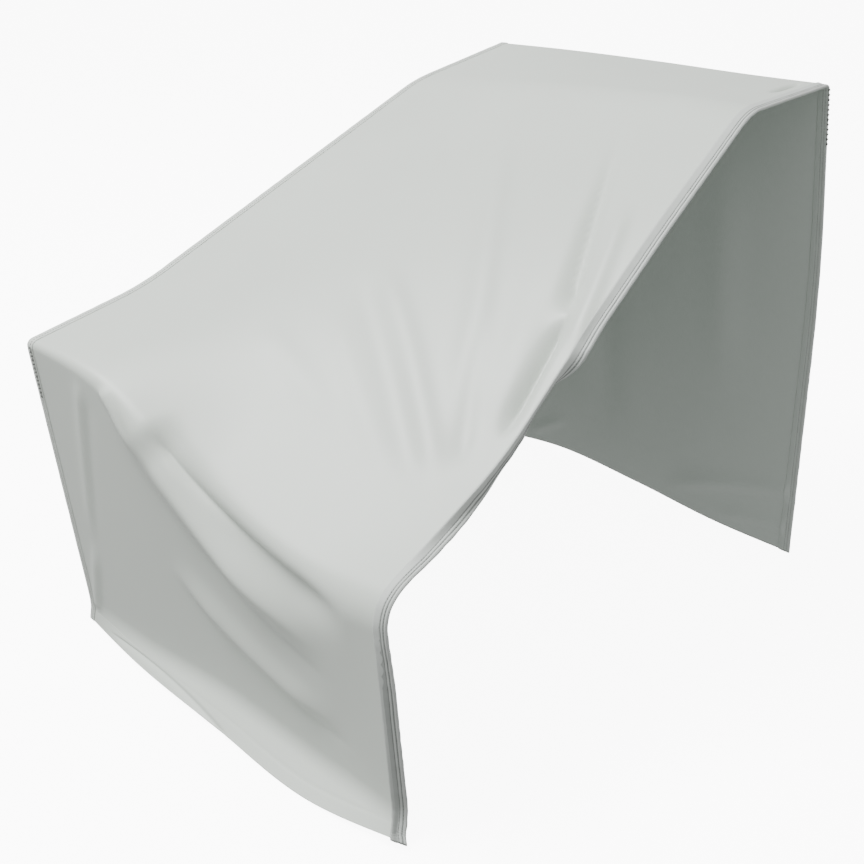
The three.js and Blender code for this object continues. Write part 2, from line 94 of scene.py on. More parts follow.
EDGE_WAY = 2.0  # way of the corner where the front meets the seat
TOP_WAY = 6.0  # way of the corner where the top meets the back
TOP_START = (2.05, 2.4)  # way over which the top folds come in
TOP_END = (5.4, 5.8)  # way over which the top folds die out
CREST_START = (5.2, 5.4)  # way over which the folds along the top of the back come in
CREST_END = (5.8, 5.95)  # way over which they die out
FRONT_END = (2.2, 2.5)  # way over which the front folds die out
BACK_START = (6.3, 6.7)  # way over which the back folds come in
SIDE_CALM = 70.0  # how far from its seam the side cloth's folds reach full height
HEM_CALM = 18.0  # how far from its seam the side cloth's hem reaches full relief
FOLD_STEPS = 24  # pieces of a fold's curve when distances are measured
FOLD_REACH = 3.0  # widths of a fold past which its height counts as nothing
TENT_FALL = 1.6  # powers of e by which a crisp fold's tent falls off over its width
HEM = 24.0  # depth of the hem turned up inside the cloth
HEM_LINE = HEM - 2.0  # height of the hem's stitches above the cloth's edge
HEM_FADE = 4.0  # height over which the doubled cloth's step fades out
HEM_STEP = 0.15  # how far the doubled cloth of a hem stands proud
HEM_GROOVE = 0.3  # depth of the line that the hem's stitches pull in
HEM_GROOVE_WIDTH = 3.0  # half the width of that line
ARM_OVERCAST = (1.66, 1.9)  # ways between which the left seam is overcast
BACK_OVERCAST = (6.05, 6.5)  # ways between which the back's right edge is overcast
STITCH_PITCH = 5.0  # from one stitch to the next
STITCH_LENGTH = 3.7  # thread that shows of one stitch
THREAD = 0.9  # thickness of the sewing thread
HEM_THREAD = 0.6  # thickness of the thread in the hems
STITCH_RINGS = 6  # rings of points along a stitch
STITCH_END = 0.02  # share of a thread's section that is left at its ends
RIM_POINTS = 60  # points along a line of overcast stitches
EDGE_ROWS = (8.4, 3.5)  # distances in from the right edge of its two rows of stitches
SEAM_ROW = 5.0  # distance in from the left edge of the seam's row of stitches

Pair = tuple[float, float]
Triple = tuple[float, float, float]
Line = tuple[np.ndarray, np.ndarray]


def smooth(low: float, high: float, value: np.ndarray) -> np.ndarray:
    """Smooth step from 0 where the value is low to 1 where it is high: 3t squared minus 2t cubed."""
    t = np.clip((value - low) / (high - low), 0.0, 1.0)
    return t * t * (3.0 - 2.0 * t)


def unit(vectors: np.ndarray) -> np.ndarray:
    """Vectors of the same direction and length 1."""
    return vectors / np.maximum(np.linalg.norm(vectors, axis=-1, keepdims=True), 1e-9)


def run_length(points: np.ndarray, axis: int = 0) -> np.ndarray:
    """Length up to each point of lines that run along an axis: the running sum of the steps, from 0."""
    total = np.cumsum(np.linalg.norm(np.diff(points, axis=axis), axis=-1), axis=axis)
    return np.concatenate([np.zeros_like(total.take([0], axis=axis)), total], axis=axis)


def faces(*corners: np.ndarray) -> np.ndarray:
    """Four-sided faces from four grids that hold the number of each face's corners."""
    return np.stack(corners, axis=-1).reshape(-1, 4)


@dataclass(frozen=True)
class Section:
    """One profile of the main cloth at a place across, each corner as (y, z)."""

    across: float
    hem: Pair
    knee: Pair
    edge: Pair
    foot: Pair
    slope: Pair
    rise: Pair
    top: Pair
    belly: Pair
    rear: Pair


@dataclass(frozen=True)
class Corner:
    """One corner of the profile: how far out the sides lie there and how softly and finely it bends."""

    name: str
    left: float
    right: float
    soft_left: float
    soft_right: float
    bend_rows: int
    run_rows: int


@dataclass(frozen=True)
class Fold:
    """Soft ridge, or valley below 0, along a curve through three places on the cloth."""

    name: str
    start: Pair
    via: Pair
    end: Pair
    height: float
    left: float
    right: float
    fade_in: float = 0.3
    fade_out: float = 0.3
    crisp: float = 0.0

    def curve(self) -> np.ndarray:
        """Points of the quadratic curve that passes through via halfway.

        Returns:
            The points, of shape (steps + 1, 2).
        """
        a, b, c = (np.array(p, float) for p in (self.start, self.via, self.end))
        handle = 2.0 * b - 0.5 * (a + c)
        t = np.linspace(0.0, 1.0, FOLD_STEPS + 1)[:, None]
        return (1 - t) ** 2 * a + 2 * t * (1 - t) * handle + t**2 * c

    def heights(self, first: np.ndarray, second: np.ndarray) -> np.ndarray:
        """Height of the fold: a bell across the curve, faded out at both ends of it.

        A crisp fold is a bell mixed with a tent, which falls off from a sharp line by the same share at
        each step.

        Args:
            first: First coordinate of each place.
            second: Second coordinate of each place.

        Returns:
            The fold's height at each place.
        """
        curve = self.curve()
        reach = FOLD_REACH * max(self.left, self.right)
        low, high = curve.min(0) - reach, curve.max(0) + reach
        near = (first > low[0]) & (first < high[0]) & (second > low[1]) & (second < high[1])
        result = np.zeros(first.shape)
        if not near.any():
            return result
        place = np.stack([first[near], second[near]], axis=-1)
        best = np.full(len(place), np.inf)
        share = np.zeros(len(place))
        side = np.zeros(len(place))
        for i in range(FOLD_STEPS):
            run = curve[i + 1] - curve[i]
            offset = place - curve[i]
            t = np.clip(offset @ run / (run @ run), 0.0, 1.0)
            distance = np.linalg.norm(offset - t[:, None] * run, axis=1)
            closer = distance < best
            best = np.where(closer, distance, best)
            share = np.where(closer, (i + t) / FOLD_STEPS, share)
            side = np.where(closer, run[0] * offset[:, 1] - run[1] * offset[:, 0], side)
        width = np.where(side > 0, self.left, self.right)
        ends = smooth(0.0, self.fade_in, share) * smooth(0.0, self.fade_out, 1.0 - share)
        bell = np.exp(-((best / width) ** 2))
        tent = np.exp(-TENT_FALL * best / width)
        result[near] = self.height * ends * ((1.0 - self.crisp) * bell + self.crisp * tent)
        return result


def fold_sum(folds: tuple[Fold, ...], first: np.ndarray, second: np.ndarray) -> np.ndarray:
    """Sum of the heights of several folds at each place."""
    return sum(fold.heights(first, second) for fold in folds)


# The cloth's form without folds, from the left edge to the right one.
SECTIONS = (
    Section(-380, (-545, 3), (-541, 36), (-578, 552), (-370, 601), (-40, 730), (298, 860), (560, 906),
            (561, 560), (560, 3)),
    Section(-215, (-567, 6), (-542, 36), (-577, 542), (-355, 607), (-40, 732), (290, 876), (556, 910),
            (563, 560), (583, 13)),
    Section(20, (-579, 9), (-534, 46), (-566, 424), (-335, 568), (-40, 733), (285, 893), (552, 911),
            (566, 560), (577, 5)),
    Section(230, (-580, 3), (-531, 38), (-562, 378), (-320, 526), (-30, 734), (280, 905), (550, 909),
            (568, 560), (553, 0)),
    Section(380, (-556, 22), (-540, 44), (-549, 391), (-300, 508), (-19, 738), (258, 908), (548, 910),
            (570, 560), (545, 2)),
)

# For each corner of a section: how far out it lies at the left and the right edge, how soft its bend is
# there, and how many rows the bend and the straight run after it have.
CORNERS = (
    Corner("hem", -394, 421, 0, 0, 0, 26),
    Corner("knee", -390, 403, 18, 18, 12, 60),
    Corner("edge", -407, 380, 12, 44, 12, 26),
    Corner("foot", -383, 389, 50, 70, 22, 22),
    Corner("slope", -380, 388, 120, 120, 40, 34),
    Corner("rise", -380, 376, 38, 38, 14, 24),
    Corner("top", -375, 358, 12, 12, 8, 8),
    Corner("belly", -380, 384, 150, 150, 18, 56),
    Corner("rear", -380, 414, 0, 0, 0, 0),
)

# Folds of the slope and the seat and of the top's edge lie on (x, y), those of the front and the back on
# (x, z) and those of the side on (y, z).
TOP_FOLDS = (
    Fold("deep trough", (163, 245), (268, 8), (328, -118), -17, 12, 16, 0.5, 0.2, 0.5),
    Fold("edge crease", (326, -110), (339, -200), (350, -290), -17, 9, 14, 0.25, 0.3, 0.6),
    Fold("slack beside the trough", (152, 170), (238, 5), (322, -240), -5, 30, 26, 0.35, 0.25),
    Fold("crest right of the trough", (290, 70), (332, -38), (366, -170), 6, 15, 14, 0.3, 0.2),
    Fold("crest left of the trough", (150, 180), (240, 10), (318, -290), 5, 24, 30, 0.4, 0.2),
    Fold("long ridge", (-60, 190), (110, -40), (300, -310), 6, 22, 26, 0.35, 0.2),
    Fold("valley beside the long ridge", (190, -135), (262, -250), (330, -345), -3.5, 13, 13, 0.4, 0.2),
    Fold("seat ridge", (-30, -150), (131, -245), (320, -380), 5, 18, 20, 0.3, 0.15),
    Fold("valley before the seat ridge", (-63, -175), (127, -290), (320, -410), -3, 18, 18, 0.3, 0.25),
    Fold("low ridge", (-56, -238), (95, -325), (270, -418), 2, 18, 18, 0.3, 0.3),
    Fold("second low ridge", (-108, -336), (5, -362), (120, -388), 2, 22, 22, 0.3, 0.3),
    Fold("back ridge", (-190, 165), (-135, 90), (-75, 5), 2, 24, 24, 0.4, 0.4),
)
FRONT_FOLDS = (
    Fold("edge valley", (-114, 499), (62, 394), (316, 336), -23, 18, 36, 0.16, 0.2),
    Fold("swag start", (-207, 532), (-160, 483), (-112, 438), 6, 7, 9, 0.1, 0.5),
    Fold("swag ridge", (-202, 528), (34, 361), (262, 246), 25, 25, 32, 0.32, 0.4, 0.15),
    Fold("swag valley", (-40, 355), (95, 268), (290, 205), -3, 9, 20, 0.35, 0.3, 0.3),
    Fold("lower ridge", (-100, 262), (75, 182), (290, 130), 13, 32, 18, 0.35, 0.25, 0.1),
    Fold("lower valley", (120, 150), (215, 118), (310, 104), -2, 8, 10, 0.35, 0.3),
    Fold("arm fold ridge", (-262, 530), (-298, 370), (-335, 170), 4, 8, 15, 0.15, 0.3),
    Fold("arm fold valley", (-242, 505), (-280, 370), (-318, 200), -1, 11, 12, 0.15, 0.4),
    Fold("corner gather", (-325, 205), (-350, 115), (-374, 30), 5, 9, 11, 0.4, 0.1),
)
# The folded lip above the front hem and the crease at the top right are too fine for the solids.
HEM_FOLDS = (
    Fold("turned lip", (-325, 12), (-140, 19.5), (45, 9), -3.2, 1.8, 5, 0.15, 0.04, 0.5),
)
CREST_FOLDS = (
    Fold("crease beside the tape", (326, 405), (322, 462), (320, 522), -15, 6, 4.5, 0.35, 0.25, 0.4),
)
BACK_FOLDS = (
    Fold("hem crease", (90, 20), (232, 86), (400, 130), -8, 22, 13, 0.35, 0.05, 0.3),
    Fold("lower hem crease", (235, 18), (318, 40), (400, 48), -5, 15, 9, 0.3, 0.05, 0.3),
    Fold("corner crease", (-278, 28), (-228, 60), (-172, 92), -6, 14, 9, 0.2, 0.35, 0.3),
    Fold("soft back fold", (-120, 860), (-100, 500), (-60, 60), 7, 40, 40, 0.4, 0.2),
    Fold("second soft back fold", (170, 840), (190, 520), (230, 240), -6, 40, 40, 0.4, 0.4),
)
SIDE_FOLDS = (
    Fold("arm drop fold", (-500, 540), (-455, 300), (-420, 40), 9, 26, 26, 0.25, 0.1),
    Fold("middle drag fold", (-300, 590), (-130, 320), (-60, 40), -8, 34, 34, 0.3, 0.2),
    Fold("back drop fold", (330, 840), (300, 420), (330, 30), 8, 36, 36, 0.3, 0.1),
)

# How the strip along the open right edge is turned in: way along the profile, degrees of its inner half
# and degrees of its outer half.
TURNS = (
    (0.0, 55, 30), (0.35, 78, 30), (1.5, 74, 26), (1.72, 12, 8), (2.3, 4, 0), (2.5, 50, 5),
    (2.75, 92, 50), (2.95, 96, 90), (3.17, 98, 95), (3.3, 108, 118), (3.46, 108, 118), (3.61, 35, 5),
    (4.3, 30, 5), (5.0, 18, 5), (6.0, 10, 0), (8.0, 10, 0),
)
TURN_INSET = 24.0  # how far in from the edge the strip begins to turn
TURN_BENDS = (3.5, 6.5, 13.0, 16.0)  # distances past that line where the two bends begin and end
TURN_STEP = 0.5  # step in which the turned strip's line is added up
TURN_MARGIN = 1.5  # how far past the edge that line goes on
HINGE_REACH = 2.0  # distance to either side over which the cloth's direction at that line is taken


@dataclass(frozen=True)
class Face:
    """A face of cloth on a grid: its points, normals and flat coordinates, all in millimetres."""

    points: np.ndarray
    normals: np.ndarray
    flat: np.ndarray


def grid_normals(grid: np.ndarray) -> np.ndarray:
    """Normals of a grid of points: the step across crossed with the step along."""
    return unit(np.cross(np.gradient(grid, axis=0), np.gradient(grid, axis=1)))


def flat_lengths(grid: np.ndarray) -> np.ndarray:
    """Distances along the cloth, across and along, counted from the middle of each line."""
    u, v = run_length(grid, 0), run_length(grid, 1)
    return np.stack([u - 0.5 * u[-1], v - 0.5 * v[:, -1:]], axis=-1)


@dataclass(frozen=True)
class Drape:
    """The main cloth as it hangs: a surface over a place across and a way along the profile.

    A way is a corner's number plus the share of the stretch after it, from 0 at the front hem to the last
    corner at the back hem.
    """

    sections: tuple[Section, ...] = SECTIONS
    corners: tuple[Corner, ...] = CORNERS

    def rows(self) -> np.ndarray:
        """Ways of the fine rows: even steps over each straight run and over each bend.

        Returns:
            The ways, rising.
        """
        last = len(self.corners) - 1
        ways = []
        for i, corner in enumerate(self.corners[:-1]):
            first = i if i == 0 else i + BEND_WAY
            final = i + 1 if i + 1 == last else i + 1 - BEND_WAY
            ways.append(np.linspace(first, final, corner.run_rows, endpoint=False))
            if i + 1 < last:
                bend = self.corners[i + 1].bend_rows
                ways.append(np.linspace(final, final + 2 * BEND_WAY, bend, endpoint=False))
        return np.concatenate([*ways, [float(last)]])

    def corner_points(self, across: np.ndarray) -> np.ndarray:
        """Corners of the profile at each place across.

        Height and depth follow a smooth cubic curve through the sections, with each inner tangent
        weighted by its neighbours, and the sides are drawn out by a cubic share near each edge.

        Args:
            across: Places from the left edge to the right one.

        Returns:
            Points of shape (places, corners, 3).
        """
        knots = np.array([s.across for s in self.sections], float)
        values = np.array([[getattr(s, c.name) for c in self.corners] for s in self.sections], float)
        step = np.diff(knots)[:, None, None]
        slope = np.diff(values, axis=0) / step
        inner = (slope[:-1] * step[1:] + slope[1:] * step[:-1]) / (step[1:] + step[:-1])
        start = 1.5 * slope[:1] - 0.5 * inner[:1]
        end = 1.5 * slope[-1:] - 0.5 * inner[-1:]
        tangent = np.concatenate([start, inner, end])
        i = np.clip(np.searchsorted(knots, across, side="left") - 1, 0, len(step) - 1)
        h = step[i]
        t = (across - knots[i])[:, None, None] / h
        s = 1.0 - t
        curve = ((1 + 2 * t) * s * s * values[i] + t * s * s * h * tangent[i]
                 + t * t * (3 - 2 * t) * values[i + 1] - t * t * s * h * tangent[i + 1])
        share = ((across + HALF_WIDTH) / (2 * HALF_WIDTH))[:, None]
        left = np.array([c.left for c in self.corners]) + HALF_WIDTH
        right = np.array([c.right for c in self.corners]) - HALF_WIDTH
        x = across[:, None] + left * (1 - share) ** 3 + right * share**3
        return np.concatenate([x[..., None], curve], axis=2)

    def plain(self, across: np.ndarray, way: np.ndarray) -> np.ndarray:
        """Points of the cloth without its folds: straight runs joined by quadratic bends.

        Args:
            across: Places across, in any order.
            way: Ways along the profile.

        Returns:
            Points of shape (places, ways, 3).
        """
        corners = self.corner_points(across)
        last = len(self.corners) - 1
        share = ((across + HALF_WIDTH) / (2 * HALF_WIDTH))[:, None]
        soft = (np.array([c.soft_left for c in self.corners]) * (1 - share)
                + np.array([c.soft_right for c in self.corners]) * share)

        def towards(i: np.ndarray, j: np.ndarray) -> np.ndarray:
            """Points a bend's softness away from corners i, towards corners j."""
            return corners[:, i] + unit(corners[:, j] - corners[:, i]) * soft[:, i][..., None]

        i = np.clip(np.floor(way).astype(int), 0, last - 1)
        first = np.where(i == 0, 0.0, i + BEND_WAY)
        final = np.where(i == last - 1, float(last), i + 1 - BEND_WAY)
        t = ((way - first) / (final - first))[None, :, None]
        run = towards(i, i + 1) * (1 - t) + towards(i + 1, i) * t
        c = np.clip(np.round(way).astype(int), 1, last - 1)
        t = np.clip((way - c + BEND_WAY) / (2 * BEND_WAY), 0, 1)[None, :, None]
        bend = towards(c, c - 1) * (1 - t) ** 2 + 2 * t * (1 - t) * corners[:, c] + towards(c, c + 1) * t**2
        in_bend = (np.abs(way - c) <= BEND_WAY)[None, :, None]
        return np.where(in_bend, bend, run)

    def fold_heights(self, points: np.ndarray, way: np.ndarray) -> np.ndarray:
        """Height of all folds at each point, each table windowed to its own stretch of the cloth.

        Args:
            points: Points of the cloth without folds.
            way: Ways along the profile.

        Returns:
            The height at each point.
        """
        x, y, z = np.moveaxis(points, 2, 0)
        top = smooth(*TOP_START, way) * (1 - smooth(*TOP_END, way))
        front = 1 - smooth(*FRONT_END, way)
        back = smooth(*BACK_START, way)
        crest = smooth(*CREST_START, way) * (1 - smooth(*CREST_END, way))
        return (top * fold_sum(TOP_FOLDS, x, y) + front * fold_sum(FRONT_FOLDS + HEM_FOLDS, x, z)
                + crest * fold_sum(CREST_FOLDS, x, y) + back * fold_sum(BACK_FOLDS, x, z))

    def face(self, across: np.ndarray, way: np.ndarray) -> Face:
        """The cloth's outer face, with its folds and hems, over rising places across and ways along."""
        points = self.turned(self.folded(across, way), across, way)
        return Face(points, grid_normals(points), flat_lengths(points))

    def folded(self, across: np.ndarray, way: np.ndarray) -> np.ndarray:
        """Points of the cloth with its folds and hems, before its right edge is turned in.

        Args:
            across: Places across, rising.
            way: Ways along the profile, rising.

        Returns:
            The points, moved along the plain cloth's normals.
        """
        plain = self.plain(across, way)
        heights = self.fold_heights(plain, way) + self.hem_heights(plain, way)
        return plain + grid_normals(plain) * heights[..., None]

    def turned(self, points: np.ndarray, across: np.ndarray, way: np.ndarray) -> np.ndarray:
        """The cloth with the strip along its right edge turned in.

        Past the line where it starts, the strip follows a line that is the sum of small steps, each at
        the angle of that place: up to the inner half's angle, then on to the outer half's. What lay off
        the straight strip is carried along at that angle.

        Args:
            points: Points of the folded cloth.
            across: Places across, rising.
            way: Ways along the profile, rising.

        Returns:
            The points, with those of the strip moved.
        """
        past = across > HALF_WIDTH - TURN_INSET
        if not past.any():
            return points
        reach = np.array([-HINGE_REACH, 0.0, HINGE_REACH])
        hinge = self.folded(HALF_WIDTH - TURN_INSET + reach, way)
        start, up = hinge[1], grid_normals(hinge)[1]
        out = unit(hinge[2] - hinge[0])
        out = unit(out - (out * up).sum(1, keepdims=True) * up)
        table = np.array(TURNS, float)
        inner, outer = (np.radians(np.interp(way, table[:, 0], table[:, k])) for k in (1, 2))
        at = np.arange(0.0, TURN_INSET + TURN_MARGIN, TURN_STEP)
        first = np.clip((at - TURN_BENDS[0]) / (TURN_BENDS[1] - TURN_BENDS[0]), 0, 1)
        second = np.clip((at - TURN_BENDS[2]) / (TURN_BENDS[3] - TURN_BENDS[2]), 0, 1)
        angle = inner[:, None] * (first - second) + outer[:, None] * second
        middle = 0.5 * (angle[:, 1:] + angle[:, :-1])
        zero = np.zeros((len(way), 1))
        ahead = np.hstack([zero, np.cumsum(TURN_STEP * np.cos(middle), axis=1)])
        below = np.hstack([zero, np.cumsum(TURN_STEP * np.sin(middle), axis=1)])
        result = points.copy()
        for k in np.flatnonzero(past):
            length = across[k] - HALF_WIDTH + TURN_INSET
            i = length / TURN_STEP
            low, part = int(i), i - int(i)
            x, z, turn = (line[:, low] * (1 - part) + line[:, min(low + 1, len(at) - 1)] * part
                          for line in (ahead, below, angle))
            offset = points[k] - start
            a = (offset * out).sum(1) - length
            c = (offset * up).sum(1)
            rest = offset - (a + length)[:, None] * out - c[:, None] * up
            new_out = x + a * np.cos(turn) + c * np.sin(turn)
            new_up = c * np.cos(turn) - a * np.sin(turn) - z
            result[k] = start + rest + new_out[:, None] * out + new_up[:, None] * up
        return result

    def hem_heights(self, points: np.ndarray, way: np.ndarray) -> np.ndarray:
        """Relief of the hems at both ends of the cloth, and none on a stretch between them.

        Args:
            points: Points of the cloth without folds.
            way: Ways along the profile.

        Returns:
            Height of the relief at each point.
        """
        if way[0] > 0 or way[-1] < len(self.corners) - 1:
            return np.zeros(points.shape[:2])
        run = run_length(points, 1)
        return hem_relief(np.minimum(run, run[:, -1:] - run))


def hem_relief(above: np.ndarray) -> np.ndarray:
    """Relief of a hem by the distance above its edge: doubled cloth, then a stitched groove.

    Args:
        above: Distance above the cloth's lower edge.

    Returns:
        Height of the relief.
    """
    step = HEM_STEP * (1 - smooth(HEM - HEM_FADE, HEM, above))
    groove = HEM_GROOVE * np.exp(-(((above - HEM_LINE) / HEM_GROOVE_WIDTH) ** 2))
    return step - groove


class Shell:
    """Meshes of thin closed shells and swept tapes, made from whole arrays."""

    @staticmethod
    def mesh(name: str, points: np.ndarray, quads: np.ndarray, uv: np.ndarray,
             finish: np.ndarray) -> bpy.types.Object:
        """Object with smooth faces from corner points, four-sided faces, a UV map and finishes.

        Args:
            name: Name of the object.
            points: Corner points in millimetres.
            quads: Four point numbers for each face, anticlockwise seen from outside.
            uv: Flat coordinates in metres for each corner of each face.
            finish: Number of the material for each face.

        Returns:
            The linked object.
        """
        data = bpy.data.meshes.new(name)
        data.from_pydata((points * MM).tolist(), [], quads.tolist())
        layer = data.uv_layers.new(name=UV_MAP)
        layer.data.foreach_set("uv", uv.astype(np.float32).ravel())
        data.polygons.foreach_set("material_index", finish.astype(np.int32))
        data.polygons.foreach_set("use_smooth", np.ones(len(quads), bool))
        data.update()
        piece = bpy.data.objects.new(name, data)
        bpy.context.scene.collection.objects.link(piece)
        return piece

    @staticmethod
    def sheet(name: str, face: Face, thickness: float = CLOTH) -> bpy.types.Object:
        """Closed thin shell: the face, the same face moved inwards, and a rim that joins them.

        Args:
            name: Name of the object.
            face: Outer face of the cloth.
            thickness: Distance between the two faces.

        Returns:
            The shell, with material 0 on its outer face and rim and 1 on its inner face.
        """
        columns, rows = face.points.shape[:2]
        outer = np.arange(columns * rows).reshape(columns, rows)
        top = faces(outer[:-1, :-1], outer[1:, :-1], outer[1:, 1:], outer[:-1, 1:])
        bottom = (top + columns * rows)[:, ::-1]
        ring = np.concatenate([outer[:, 0], outer[-1, 1:], outer[-2::-1, -1], outer[0, -2:0:-1]])
        after = np.roll(ring, -1)
        rim = faces(ring, ring + columns * rows, after + columns * rows, after)
        points = np.concatenate([face.points.reshape(-1, 3),
                                 (face.points - face.normals * thickness).reshape(-1, 3)])
        quads = np.concatenate([top, bottom, rim])
        flat = np.concatenate([face.flat.reshape(-1, 2)] * 2) * MM
        finish = np.concatenate([np.zeros(len(top)), np.ones(len(bottom)), np.zeros(len(rim))])
        return Shell.mesh(name, points, quads, flat[quads].reshape(-1, 2), finish)

    @staticmethod
    def sweep(name: str, rings: np.ndarray, outline: np.ndarray) -> bpy.types.Object:
        """Solid through rings of points, closed at each end by a strip between its two skins.

        Args:
            name: Name of the object.
            rings: Points of shape (stations, outline points, 3), each ring anticlockwise.
            outline: Length round the outline at each point, for the UV map.

        Returns:
            The swept piece.
        """
        stations, size = rings.shape[:2]
        grid = np.arange(stations * size).reshape(stations, size)
        after = np.roll(grid, -1, axis=1)
        sides = faces(grid[:-1], after[:-1], after[1:], grid[1:])
        near = np.arange(size // 2 - 1)
        far = size - 1 - near
        low = faces(grid[0][near], grid[0][far], grid[0][far - 1], grid[0][near + 1])
        high = faces(grid[-1][near], grid[-1][near + 1], grid[-1][far - 1], grid[-1][far])
        along = run_length(rings.mean(axis=1))
        flat = np.stack(np.broadcast_arrays(outline[None, :], along[:, None]), axis=-1).reshape(-1, 2) * MM
        quads = np.concatenate([sides, low, high])
        finish = np.zeros(len(quads))
        return Shell.mesh(name, rings.reshape(-1, 3), quads, flat[quads].reshape(-1, 2), finish)


@dataclass(frozen=True)
class StitchRow:
    """A kind of stitch: a short rounded thread along or across a line, with both ends sunk in."""

    pitch: float = STITCH_PITCH
    length: float = STITCH_LENGTH
    thread: float = THREAD
    across: bool = False
    rise: float = 0.3
    sink: float = 0.55

    def build(self, name: str, lines: list[Line]) -> bpy.types.Object:
        """Threads along each line, as one mesh.

        A stitch is a six-sided tube whose radius is the thread's times the root of about 1 - t to the
        fourth, and whose height over the cloth falls with t squared, for t from -1 to 1 along it.

        Args:
            name: Name of the row.
            lines: Pairs of line points and the cloth's normals at them, in millimetres.

        Returns:
            The row of stitches.
        """
        places = [self.places(points, normals) for points, normals in lines]
        middle, along, up = (np.concatenate(part) for part in zip(*places))
        side = unit(np.cross(along, up))
        if self.across:
            along, side = side, -along
        t = np.linspace(-1.0, 1.0, STITCH_RINGS)
        turn = np.linspace(0.0, 2 * math.pi, 6, endpoint=False)
        radius = 0.5 * self.thread * np.sqrt(np.clip(1 + STITCH_END - t**4, STITCH_END, 1.0))
        lift = self.rise * self.thread - self.sink * self.thread * t**2
        out = radius[:, None] * np.cos(turn)
        over = lift[:, None] + radius[:, None] * np.sin(turn)
        ahead = np.broadcast_to((0.5 * self.length * t)[:, None], out.shape)
        points = (middle[:, None, None] + ahead[..., None] * along[:, None, None]
                  + out[..., None] * side[:, None, None] + over[..., None] * up[:, None, None])
        count, stations, size = points.shape[:3]
        grid = np.arange(count * stations * size).reshape(count, stations, size)
        after = np.roll(grid, -1, axis=2)
        caps = (grid[:, 0, :4], grid[:, 0, [0, 3, 4, 5]], grid[:, -1, 3::-1], grid[:, -1, [5, 4, 3, 0]])
        quads = np.concatenate([faces(grid[:, :-1], grid[:, 1:], after[:, 1:], after[:, :-1]), *caps])
        flat = np.stack(np.broadcast_arrays(t[:, None], turn), axis=-1)
        uv = np.broadcast_to(flat, (*grid.shape, 2)).reshape(-1, 2)[quads].reshape(-1, 2)
        return Shell.mesh(name, points.reshape(-1, 3), quads, uv, np.zeros(len(quads)))

    def places(self, points: np.ndarray, normals: np.ndarray) -> tuple[np.ndarray, ...]:
        """Middle, direction and normal of each stitch, at even steps along the line.

        Args:
            points: Points of the line.
            normals: Normals of the cloth at them.

        Returns:
            Middles, directions along the line, and normals at right angles to those.
        """
        run = run_length(points)
        count = int(run[-1] // self.pitch)
        at = (np.arange(count) + 0.5) * run[-1] / count

        def sample(values: np.ndarray, distance: np.ndarray) -> np.ndarray:
            """Values of the line at distances along it."""
            return np.stack([np.interp(distance, run, values[:, k]) for k in range(3)], axis=-1)

        along = unit(sample(points, at + 1.0) - sample(points, at - 1.0))
        up = sample(normals, at)
        up = unit(up - (up * along).sum(1, keepdims=True) * along)
        return sample(points, at), along, up


def hem_line(face: Face, order: int = 1) -> Line:
    """Line across a face at the hem's stitches, a fixed distance above the cloth's edge.

    Args:
        face: Face of the cloth.
        order: 1 for the hem where the face's rows start, or -1 for the one where they end.

    Returns:
        Points of the line, set into the hem's groove, and their normals.
    """
    points, normals = face.points[:, ::order], face.normals[:, ::order]
    run = run_length(points, 1)
    over = np.argmax(run >= HEM_LINE, axis=1)
    rows = np.arange(len(points))
    t = ((HEM_LINE - run[rows, over - 1]) / (run[rows, over] - run[rows, over - 1]))[:, None]
    line, up = (grid[rows, over - 1] * (1 - t) + grid[rows, over] * t for grid in (points, normals))
    return line, unit(up)


@dataclass(frozen=True)
class Tape:
    """A woven tape folded along a centre line, given as (out, up) places beside the cloth's edge.

    Out runs away from the cloth and up along its normal. Places over the cloth have out at or below 0.
    """

    centre: tuple[Pair, ...]
    grooves: tuple[float, ...]
    thickness: float = TAPE

    def skins(self) -> tuple[np.ndarray, np.ndarray]:
        """Outer and inner skin of the tape: the centre line moved half its thickness each way.

        The tape thins towards both raw edges, and at each groove its outer skin dips by a bell.

        Returns:
            Outer and inner skin, each of shape (places, 2).
        """
        line = np.array(self.centre, float)
        normal = unit(np.stack([-np.gradient(line[:, 1]), np.gradient(line[:, 0])], axis=-1))
        run = run_length(line)
        edge = np.minimum(run, run[-1] - run)
        half = 0.5 * self.thickness * (RAW_EDGE + (1 - RAW_EDGE) * smooth(0.0, 1.0, edge))
        dip = sum(GROOVE_DIP * np.exp(-(((run - place) / GROOVE_WIDTH) ** 2)) for place in self.grooves)
        return line + normal * (half - dip)[:, None], line - normal * half[:, None]

    def round_length(self) -> np.ndarray:
        """Length round the section for the UV map: out along the outer skin and back along the inner."""
        run = run_length(np.array(self.centre, float))
        return np.concatenate([run, run[::-1]])


class Side(Enum):
    """Which side edge of the main cloth a tape is sewn to."""

    LEFT = "left"
    RIGHT = "right"


